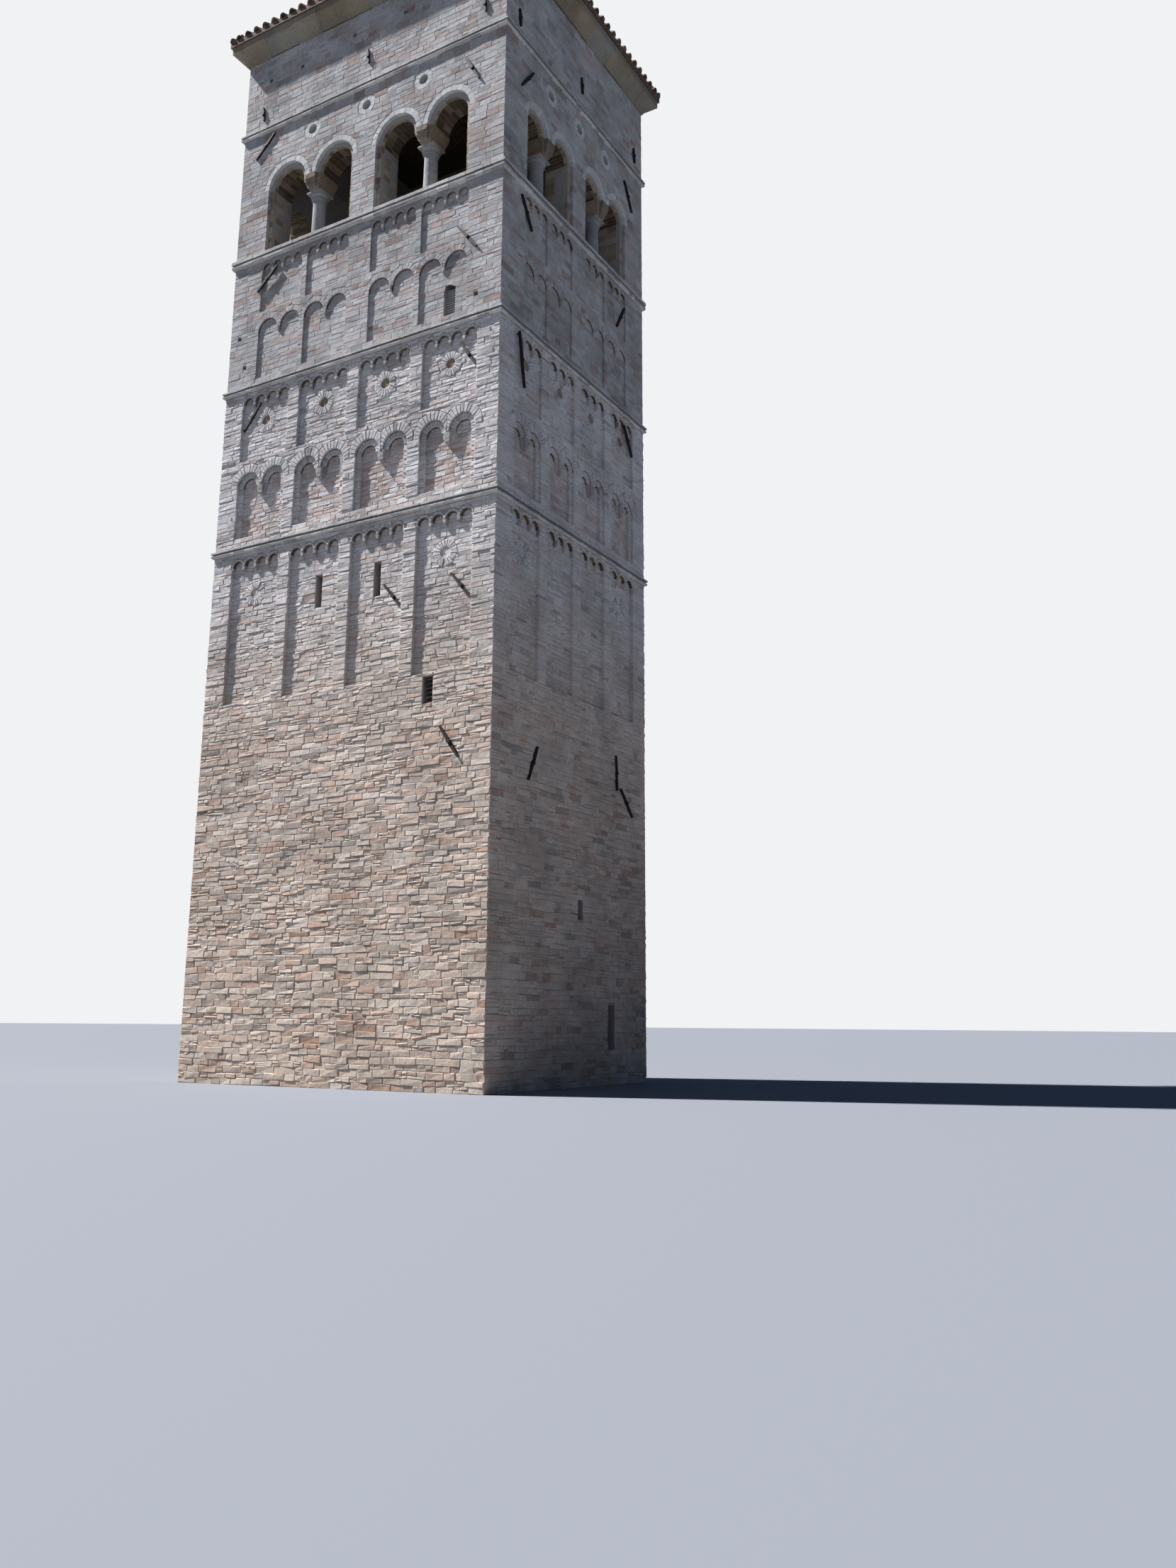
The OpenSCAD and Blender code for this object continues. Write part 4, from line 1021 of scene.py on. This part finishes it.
def lay_belfry(side, levels):
    """The bell chamber: its piers, the stepped jambs and arches of its lights, its round windows."""
    piece = Masonry(SIDES[side] + "_belfry_stones", SIDES[side] + "_belfry_arches", ASHLAR)
    white = Masonry(SIDES[side] + "_belfry_white_stones", SIDES[side] + "_belfry_arches", WHITE)
    brown = Masonry(SIDES[side] + "_belfry_soffit_stones", SIDES[side] + "_belfry_arches", SOFFIT)
    end = side_len(side) / 2 + ASHLAR_LAP
    mids, width, pairs = lights(side)
    runs = between([(pair, 2 * width + IMPOST_W) for pair in pairs], -end, end)
    for i, (a, b) in enumerate(runs):
        roots = (BELL_ORDER_D if i else 0, BELL_ORDER_D if i < 2 else 0)
        fill(piece, side, a, b, SILL_TOP, SPRING, 0.0, levels, ASHLAR_LOOK, roots=roots)
    slices = list(zip(REVEAL_CUTS, REVEAL_CUTS[1:]))
    for pair, way in [(p, w) for p in pairs for w in (-1, 1)]:
        jamb = pair + way * (width + IMPOST_W / 2)
        edge = sorted((jamb, jamb - way * BELL_ORDER_STEP))
        for k, (depth, end_depth) in enumerate(slices):
            for low, high in zip(levels, levels[1:]):
                if low < SILL_TOP - 0.01 or high > SPRING + 0.01:
                    continue
                lap = ASHLAR_LAP * rng.uniform(0.3, 1.6)
                a = edge[0] - (lap if way > 0 else 0)
                b = edge[1] + (lap if way < 0 else 0)
                brown.lay(side, [(a, low), (b, low), (b, high), (a, high)], depth,
                          -0.012 if k else 0.006, tone_of(JAMB_LOOK), end_depth - depth - 0.004)
    rings = []
    eyes = [(u, EYE_Z, EYE_RING_R + 0.006) for u in (pairs[0], 0.0, pairs[1])]
    for i, u in enumerate(mids):
        pair = pairs[i // 2]
        toward = 1 if u < pair else -1
        limits = ((pair, -toward),)
        ring(white, side, u, SPRING, width / 2 - FAN_LAP, width / 2 + ASHLAR_FAN_W, 13, 0.0,
             WHITE_LOOK, root=BELL_ORDER_D, limits=limits, joint=0.005, ragged=0.015)
        rings.append((u, SPRING, width / 2 + ASHLAR_FAN_CLEAR))
        r = width / 2 - BELL_ORDER_STEP
        # The arch reveal is cut in slices; the slices behind the first are darker, painted shade deeper
        # in, over the stone's own brown
        for k, (depth, end_depth) in enumerate(slices):
            ring(brown, side, u, SPRING, r - 0.008, width / 2, 13, depth,
                 BROWN_AND_SHADE_LOOK if k else JAMB_LOOK, root=end_depth - depth - 0.004)
    for u, z, r in eyes:
        ring(white, side, u, z, EYE_R + 0.002, EYE_RING_R, 10, 0.0, WHITE_LOOK, 0.2,
             0.2 + 2 * math.pi, joint=0.007)
    fill(piece, side, -end, end, SPRING, BELFRY_TOP, 0.0, levels, ASHLAR_LOOK, rings + eyes)
    return piece, white, brown


def lay_attic(side, levels):
    """The plain wall over the bell chamber."""
    piece = Masonry(SIDES[side] + "_attic_stones", SIDES[side] + "_attic_wall", ASHLAR)
    end = side_len(side) / 2 + ASHLAR_LAP
    gaps = putlog_gaps(side, ATTIC_PUTLOGS, lambda z: ATTIC_TOP - z) if is_long(side) else ()
    fill(piece, side, -end, end, ATTIC_FOOT, ATTIC_TOP, 0.0, levels, ASHLAR_LOOK, gaps=gaps)
    return piece


# Heights of the courses; the lowest courses of the base are the tallest
TALL_BASE_BED = 0.165
BASE_BED = 0.138
TALL_BEDS_TOP = 3.2
RUBBLE_BED = 0.125
ASHLAR_BED = 0.170
NICHE_LEVEL = MIDDLE_FOOT + NICHE_RISE
UPPER_NICHE_LEVEL = UPPER_FOOT + UPPER_NICHE_RISE
base_levels = (beds(0.0, TALL_BEDS_TOP, TALL_BASE_BED)
               + beds(TALL_BEDS_TOP, BASE_TOP, BASE_BED)[1:])
lower_levels = beds(BASE_TOP, LOWER_TOP, RUBBLE_BED, (
    LOWER_PANEL_FOOT, LOWER_TOP - LOWER_DROP[True], TILED_WINDOW[2], TILED_WINDOW[2] + TILED_WINDOW[3],
    SLITS[0][2], SLITS[0][2] + SLITS[0][3]))
middle_levels = beds(MIDDLE_FOOT, MIDDLE_TOP, RUBBLE_BED, (
    NICHE_LEVEL, NICHE_LEVEL + TWIN_JAMB_H, NICHE_LEVEL + TWIN_JAMB_H - TWIN_CORBEL_H,
    MIDDLE_PANEL_FOOT, MIDDLE_TOP - MIDDLE_DROP))
upper_levels = beds(UPPER_FOOT, UPPER_TOP, ASHLAR_BED, (
    UPPER_NICHE_LEVEL, UPPER_NICHE_LEVEL + UPPER_JAMB_H, UPPER_PANEL_FOOT, UPPER_TOP - UPPER_DROP))
belfry_levels = beds(SILL_TOP, BELFRY_TOP, ASHLAR_BED, (SPRING,))
attic_levels = beds(ATTIC_FOOT, ATTIC_TOP, ASHLAR_BED)

# How stones are dressed: rounding of the edges, unevenness of the face, share kept at the ends
BASE_DRESSING = (0.013, 0.010, 0.55)
RUBBLE_DRESSING = (0.016, 0.008, 0.25)
UPPER_DRESSING = (0.007, 0.004, 0.25)
ASHLAR_DRESSING = (0.007, 0.004, 0.4)
FAN_DRESSING = (0.010, 0.003)
SOFFIT_DRESSING = (0.004, 0.002)

hanging_unit = hanging_stone()
for side in (FRONT, RIGHT, BACK, LEFT):
    build_masonry(lay_base(side, base_levels), *BASE_DRESSING)
    for storey, lay_storey, levels, dressing in (
            ("lower", lay_lower, lower_levels, RUBBLE_DRESSING),
            ("middle", lay_middle, middle_levels, RUBBLE_DRESSING),
            ("upper", lay_upper, upper_levels, UPPER_DRESSING)):
        stones, soffits, fans, spots, hung = lay_storey(side, levels)
        build_masonry(stones, *dressing)
        build_masonry(soffits, *SOFFIT_DRESSING)
        if fans:
            build_masonry(fans, *FAN_DRESSING)
        node = "%s_%s_arcade" % (SIDES[side], storey)
        set_copies(node + "_hanging_stones", hanging_unit, WORN, spots)
        build_core(side, node, hung)
    for piece in lay_belfry(side, belfry_levels):
        build_masonry(piece, *ASHLAR_DRESSING)
    build_masonry(lay_attic(side, attic_levels), *ASHLAR_DRESSING)
bpy.data.objects.remove(hanging_unit)


# Slats of the arched window

SLAT_PITCH = 0.068
SLAT_H = 0.026
SLAT_D = 0.060
SLATS_DEPTH = 0.150


def build_slats():
    """The slats that close the arched window, set back from the face."""
    mid, width, foot, height = ARCHED_WINDOW
    points = [(x, y, z) for z in (0, 1) for x, y in ((-0.5, 0), (0.5, 0), (0.5, 1), (-0.5, 1))]
    faces = [[3, 2, 1, 0], [4, 5, 6, 7], [0, 1, 5, 4], [1, 2, 6, 5], [2, 3, 7, 6], [3, 0, 4, 7]]
    unit = mesh_object("slat", points, faces)
    spots = []
    for i in range(1, int(height / SLAT_PITCH)):
        z = foot + i * SLAT_PITCH
        over = max(0.0, z + 0.03 - (foot + height - width / 2)) / (width / 2)
        if over < 0.9:
            size = (width * math.sqrt(1 - over ** 2) + 0.02, SLAT_D, SLAT_H)
            spots.append((place(FRONT, mid, z, SLATS_DEPTH), (0, 0, 0), size, rng.uniform(0.2, 0.5)))
    set_copies("arched_window_slats", unit, ASHLAR, spots)
    bpy.data.objects.remove(unit)


build_slats()


# Moulded courses and eaves

STRING_GROOVE = 0.065
GROOVE_D = 0.080
STRING_BLOCKS = (0.16, 0.42)
CORNICE_BLOCKS = (0.55, 1.20)
# Faces of a string profile painted near black as shade: the top of the lower lip, the back of the
# groove and the underside of the upper lip
GROOVE_PAINTED_SHADE_FACES = (3, 4, 5)
STRING_PROUD = 0.012
CORNICE_PROUD = 0.010


def moulding(name, material, profile, lengths, proud, dark=()):
    """Blocks swept along the four sides. profile holds (out, z), lengths the shortest and longest
    block, and proud the most that one stands out; a corner block is mitred, and dark names the
    faces of the profile that get tone 0, near black: painted shade, as in the groove of a string
    course."""
    points, faces, tones = [], [], []
    n = len(profile)
    bright = [i not in dark for i in range(n)]
    for side in (FRONT, RIGHT, BACK, LEFT):
        half = side_len(side) / 2
        joints = [-half]
        while joints[-1] < half - lengths[1]:
            joints.append(joints[-1] + rng.uniform(*lengths))
        joints[-1] = min(joints[-1], half - lengths[0])
        joints.append(half)
        for k, (a, b) in enumerate(zip(joints, joints[1:])):
            first = len(points)
            shift = proud * rng.uniform(0.3, 1.0)
            sink = rng.uniform(-0.004, 0.004)
            mitres = (-1 if k == 0 else 0, 1 if k == len(joints) - 2 else 0)
            for end_u, mitre, gap in ((a, mitres[0], 0.004), (b, mitres[1], -0.004)):
                for out, z in profile:
                    reach = out + shift
                    u = end_u + mitre * reach + (0 if mitre else gap)
                    points.append(place(side, u, z + sink, -reach))
            faces += [[first + i, first + (i + 1) % n, first + n + (i + 1) % n, first + n + i]
                      for i in range(n)]
            faces.append([first + i for i in range(n)][::-1])
            faces.append([first + n + i for i in range(n)])
            own = rng.uniform(0.65, 1.0)
            # Faces named as painted shade get tone 0, near black; the others keep the block's own tone
            tones += [own if high else 0.0 for high in bright] + [own, own]
    obj = mesh_object(name, points, faces)
    store(obj.data, "tone", "FLOAT", "FACE", tones)
    obj.data.materials.append(material)
    return finish_piece(obj)


def string_profile(node):
    """Two lips with a groove between them, from the foot to the top, closed behind the face."""
    foot, top = level(node, 0), level(node, 1)
    height = top - foot
    out = STRING_OUT
    groove = STRING_GROOVE
    lip = (height - groove) / 2
    inner = out - GROOVE_D
    return [(-0.03, foot), (out * 0.4, foot), (out - 0.01, foot + lip * 0.5), (out - 0.01, foot + lip),
            (inner, foot + lip), (inner, foot + lip + groove), (out, foot + lip + groove),
            (out, top - 0.02), (out * 0.6, top), (-0.03, top)]


for node in ("lower_string_course", "middle_string_course", "upper_string_course",
             "belfry_sill_course"):
    moulding(node.replace("course", "stones"), WORN, string_profile(node), STRING_BLOCKS,
             STRING_PROUD, GROOVE_PAINTED_SHADE_FACES)

CORNICE_H = 0.600
COVE_H = 0.510


def cornice_profile():
    """A plain fillet over a hollow curve, as the eaves course of the frame has it."""
    foot = ATTIC_TOP
    top = foot + CORNICE_H
    cove = COVE_H
    centre = (CORNICE_OUT + cove * 0.35, foot - cove * 0.35)
    r = cove * 1.12
    first = math.asin((foot - centre[1]) / r)
    last = math.acos((centre[0] - CORNICE_OUT) / r)
    curve = []
    for i in range(8):
        a = first + (last - first) * i / 7
        curve.append((centre[0] - r * math.cos(a), centre[1] + r * math.sin(a)))
    return [(-0.05, foot)] + curve + [(CORNICE_OUT, top - 0.01), (-0.05, top - 0.01)]


moulding("eaves_cornice_stones", EAVES, cornice_profile(), CORNICE_BLOCKS,
         CORNICE_PROUD)


# Roof tiles

ROOF_FOOT = level("front_roof_slope", 0)
ROOF_T = 0.180
ROOF_PITCH = 0.340
ROOF_RUN = BODY_D / 2 + ROOF_OUT
TILE_L = 0.46
TILE_LAP = 0.36
TILE_W = (0.21, 0.16)
TILE_T = 0.018
COVER_PITCH = 0.36
COVER_TILE_LIFT = 0.02
HOLLOW_TILE_LIFT = 0.085
CAP_SIZE = (1.25, 1, 1.25)


def barrel_tile(name, wide, narrow, length, thickness, steps=6):
    """A half-round clay tile along +Y, wide at y = 0, hollow below."""
    points, faces = [], []
    for y, r in ((0.0, wide / 2), (length, narrow / 2)):
        for radius in (r, r - thickness):
            for i in range(steps + 1):
                a = math.pi * i / steps
                points.append((radius * math.cos(a), y, radius * math.sin(a)))
    m = steps + 1
    for i in range(steps):
        faces.append([i, i + 1, 2 * m + i + 1, 2 * m + i])
        faces.append([m + i + 1, m + i, 3 * m + i, 3 * m + i + 1])
        faces.append([i + 1, i, m + i, m + i + 1])
        faces.append([2 * m + i, 2 * m + i + 1, 3 * m + i + 1, 3 * m + i])
    faces.append([0, 2 * m, 3 * m, m])
    faces.append([steps + 2 * m, steps, m + steps, 3 * m + steps])
    return mesh_object(name, points, faces)


def slope_point(side, u, run, lift):
    """A point lift above the tiled plane of a slope, run metres in from the eaves."""
    return place(side, u, ROOF_FOOT + ROOF_T + run * ROOF_PITCH + lift, run - ROOF_OUT)


def tile_spots(side, hollow):
    """Cover tiles, or the hollow tiles between them, on one slope."""
    half = side_len(side) / 2 + ROOF_OUT
    count = round(2 * half / COVER_PITCH)
    pitch = 2 * half / count
    slope = math.atan(ROOF_PITCH)
    rows = int(ROOF_RUN / math.cos(slope) / TILE_LAP) + 1
    spots = []
    for i in range(count + (0 if hollow else 1)):
        u = -half + pitch * (i + (0.5 if hollow else 0.0))
        u = min(max(u, -half + 0.1), half - 0.1)
        for k in range(rows):
            run = (k * TILE_LAP - 0.03) * math.cos(slope)
            if run > half - abs(u) - 0.05 or run > ROOF_RUN - 0.12:
                break
            wobble = rng.uniform(-0.02, 0.02)
            spin = Matrix.Rotation(side * math.pi / 2 + wobble, 3, "Z") @ Matrix.Rotation(slope, 3, "X")
            if hollow:
                spin = spin @ Matrix.Rotation(math.pi, 3, "Y")
            lift = HOLLOW_TILE_LIFT if hollow else COVER_TILE_LIFT
            spots.append((slope_point(side, u, run, lift + rng.uniform(-0.004, 0.004)),
                          tuple(spin.to_euler()), (1, 1, 1), rng.random()))
    return spots


cover = barrel_tile("cover_tile", TILE_W[0], TILE_W[1], TILE_L, TILE_T)
for side in (FRONT, RIGHT, BACK, LEFT):
    node = SIDES[side] + "_roof_slope"
    set_copies(SIDES[side] + "_cover_tiles", cover, CLAY, tile_spots(side, False))
    set_copies(SIDES[side] + "_hollow_tiles", cover, CLAY, tile_spots(side, True))


def cap_spots():
    """The ridge tiles and the four rows of hip tiles."""
    top = ROOF_FOOT + ROOF_T + ROOF_RUN * ROOF_PITCH
    ridge_half = BODY_W / 2 + ROOF_OUT - ROOF_RUN
    spots = []
    count = max(2, round(2 * ridge_half / TILE_LAP))
    for i in range(count):
        x = -ridge_half + 2 * ridge_half * i / count
        spots.append(((x, 0, top + 0.01), (0, 0, -math.pi / 2), CAP_SIZE, rng.random()))
    for sx in (-1, 1):
        for sy in (-1, 1):
            foot = Vector((sx * (BODY_W / 2 + ROOF_OUT), sy * ROOF_RUN, ROOF_FOOT + ROOF_T))
            head = Vector((sx * ridge_half, 0, top))
            way = head - foot
            length = way.length
            way.normalize()
            across = way.cross(Vector((0, 0, 1))).normalized()
            up = across.cross(way)
            turn = Matrix((across, way, up)).transposed().to_euler()
            rows = int(length / TILE_LAP)
            for i in range(rows):
                at = foot + way * (i * TILE_LAP + 0.02) + up * 0.02
                spots.append((tuple(at), tuple(turn), CAP_SIZE, rng.random()))
    return spots


set_copies("ridge_and_hip_caps", cover, CLAY, cap_spots())
bpy.data.objects.remove(cover)

# Crutch blocks under the twin arches, from the front to the back of the capital and curled out
# over a share of their height

CAPITAL_FRONT = 0.21
CAPITAL_BACK = 0.74
CURL_H = 0.62


def crutch_block(name, wide, front, back, foot, head, drop):
    """A block whose front and back curl in to the capital, as wide at every height as the curve
    gives. front and back are its ends along y, and drop is how far the sides come in."""
    steps = 9
    points, faces = [], []
    for i in range(steps + 1):
        t = i / steps
        z = foot + (head - foot) * t
        curl = (1 - min(1.0, t / CURL_H)) ** 1.7
        roll = 0.020 * math.sin(min(1.0, t / CURL_H) * math.pi * 2.0)
        half = wide / 2 - drop * (1 - t) ** 1.5
        y0 = front + (CAPITAL_FRONT - front) * curl - roll
        y1 = back - (back - CAPITAL_BACK) * curl + roll
        points += [(-half, y0, z), (half, y0, z), (half, y1, z), (-half, y1, z)]
    for i in range(steps):
        for k in range(4):
            a, b = 4 * i + k, 4 * i + (k + 1) % 4
            faces.append([a, b, b + 4, a + 4])
    faces += [[3, 2, 1, 0], [4 * steps + k for k in range(4)]]
    return mesh_object(name, points, faces)


def build_crutches():
    """Each crutch: a nose as wide as the impost, and behind the outer order the broad block."""
    foot, head = (corner.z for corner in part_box("column_crutches"))
    narrow = IMPOST_W + 0.01
    for label, material, wide, front, back, drop in (
            ("noses", CRUTCH, narrow, -0.005, 0.40, 0.085),
            ("blocks", SOFFIT, narrow + 2 * BELL_ORDER_STEP, BELL_ORDER_D, BELFRY_T + 0.004, 0.185)):
        part = crutch_block("crutch_part", wide, front, back, foot, head, drop)
        spots = [(place(side, pair, 0.0), (0, 0, side * math.pi / 2), (1, 1, 1), rng.uniform(0.3, 0.7))
                 for side in (FRONT, RIGHT, BACK, LEFT) for pair in lights(side)[2]]
        made = set_copies("crutch_" + label, part, material, spots)
        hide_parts("column_crutches")
        bpy.data.objects.remove(part)


build_crutches()

# Tie anchors: the forged bars, as thick as hammered iron with its crust of rust

CRUST = 0.014


def build_anchors():
    """The anchors of the frame, every bar grown by its crust and stood off the stones."""
    mesh = nodes["tie_anchors"].data.copy()
    mesh.transform(nodes["tie_anchors"].matrix_world)
    joined = bmesh.new()
    joined.from_mesh(mesh)
    bmesh.ops.remove_doubles(joined, verts=joined.verts, dist=0.0001)
    joined.to_mesh(mesh)
    joined.free()
    moves = []
    for vertex in mesh.vertices:
        x, y = vertex.co.x, vertex.co.y
        on_side = abs(x) > BODY_W / 2 - 0.12
        off = Vector((math.copysign(1, x), 0, 0) if on_side else (0, math.copysign(1, y), 0))
        moves.append(vertex.normal * CRUST + off * CRUST)
    for vertex, move in zip(mesh.vertices, moves):
        vertex.co += move
    mesh.materials.clear()
    mesh.materials.append(IRON)
    obj = link(bpy.data.objects.new("forged_anchors", mesh))
    finish_piece(obj)
    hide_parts("tie_anchors")


build_anchors()

# Finishes of the pieces that the frame carries
FINISH = {
    "column_bases": ASHLAR, "column_shafts": ASHLAR, "column_capitals": ASHLAR,
    "column_crutches": ASHLAR, "round_window_rings": WHITE, "eaves_cornice": EAVES,
    "belfry_floor": BOARDS, "ridge_and_hip_tiles": CLAY, "window_tiles": CLAY, "tie_anchors": IRON,
    "lower_string_course": ASHLAR, "middle_string_course": ASHLAR, "upper_string_course": ASHLAR,
    "belfry_sill_course": ASHLAR,
}
for name, obj in nodes.items():
    material = FINISH.get(name, CLAY if name.endswith("roof_slope") else MORTAR)
    obj.data.materials.clear()
    obj.data.materials.append(material)

# Floor, light and camera


FLOOR_R = 420
FLOOR_CORNERS = 96
FLOOR_COLOUR = "#797C82"
FILL_COLOUR, FILL_STRENGTH = "#9CBFFA", 0.145
KEY_COLOUR, KEY_STRENGTH, KEY_SPREAD = "#FBFBFE", 9.3, 1.5
KEY_AZIMUTH, KEY_ELEVATION = 71.5, 53
LENS_MM, LENS_SHIFT = 29.177, (0.0123, -0.0298)
YAW_PITCH_ROLL = (30.604, 12.639, 0.447)
EYE_POINT = (21.312, -28.272, 1.6)


def pale_floor():
    """A plain floor, pale to the camera, that keeps the tower's shadow."""
    made = bpy.data.materials.new("plain_pale_floor")
    made.use_nodes = True
    shader = made.node_tree.nodes["Principled BSDF"]
    shader.inputs["Base Color"].default_value = paint(FLOOR_COLOUR)
    shader.inputs["Roughness"].default_value = 0.95
    turns = [2 * math.pi * i / FLOOR_CORNERS for i in range(FLOOR_CORNERS)]
    points = [(FLOOR_R * math.cos(a), FLOOR_R * math.sin(a), 0) for a in turns]
    floor = mesh_object("floor", points, [list(range(FLOOR_CORNERS))])
    floor.data.materials.append(made)


def pale_sky():
    """Even fill light; what the camera sees of it is white."""
    world = bpy.data.worlds.new("studio")
    world.use_nodes = True
    bpy.context.scene.world = world
    tree = world.node_tree
    tree.nodes.clear()
    fill_light = add(tree, "ShaderNodeBackground", None, {0: paint(FILL_COLOUR), 1: FILL_STRENGTH})
    seen = add(tree, "ShaderNodeBackground", None, {0: paint("#F1F2F3"), 1: 1.0})
    path = add(tree, "ShaderNodeLightPath")
    mixed = add(tree, "ShaderNodeMixShader", None,
                {0: path.outputs["Is Camera Ray"], 1: fill_light.outputs[0], 2: seen.outputs[0]})
    out = add(tree, "ShaderNodeOutputWorld")
    tree.links.new(mixed.outputs[0], out.inputs[0])


def key_light():
    """A key from the upper left; it grazes the front, as in the photograph."""
    lamp = bpy.data.lights.new("key", "SUN")
    lamp.energy = KEY_STRENGTH
    lamp.angle = math.radians(KEY_SPREAD)
    lamp.color = paint(KEY_COLOUR)[:3]
    obj = link(bpy.data.objects.new("key", lamp))
    azimuth, elevation = math.radians(KEY_AZIMUTH), math.radians(KEY_ELEVATION)
    toward = Vector((-math.sin(azimuth) * math.cos(elevation),
                     -math.cos(azimuth) * math.cos(elevation), math.sin(elevation)))
    obj.rotation_euler = toward.to_track_quat("Z", "Y").to_euler()


def camera():
    """The photograph's viewpoint, solved from the tower's courses and corners. The shift makes
    up for what the photograph's own lens bends."""
    lens = bpy.data.cameras.new("camera")
    lens.lens = LENS_MM
    lens.sensor_width = 36.0
    lens.shift_x, lens.shift_y = LENS_SHIFT
    lens.clip_end = 1000
    obj = link(bpy.data.objects.new("camera", lens))
    yaw, pitch, roll = (math.radians(a) for a in YAW_PITCH_ROLL)
    level_part = math.cos(pitch)
    ahead = Vector((-math.sin(yaw) * level_part, math.cos(yaw) * level_part, math.sin(pitch)))
    right = Vector((math.cos(yaw), math.sin(yaw), 0))
    up = right.cross(ahead)
    turned = math.cos(roll) * right + math.sin(roll) * up
    up = math.cos(roll) * up - math.sin(roll) * right
    turn = Matrix((turned, up, -ahead)).transposed()
    obj.matrix_world = Matrix.Translation(EYE_POINT) @ turn.to_4x4()
    bpy.context.scene.camera = obj


pale_floor()
pale_sky()
key_light()
camera()
bpy.context.scene.view_settings.view_transform = "Standard"
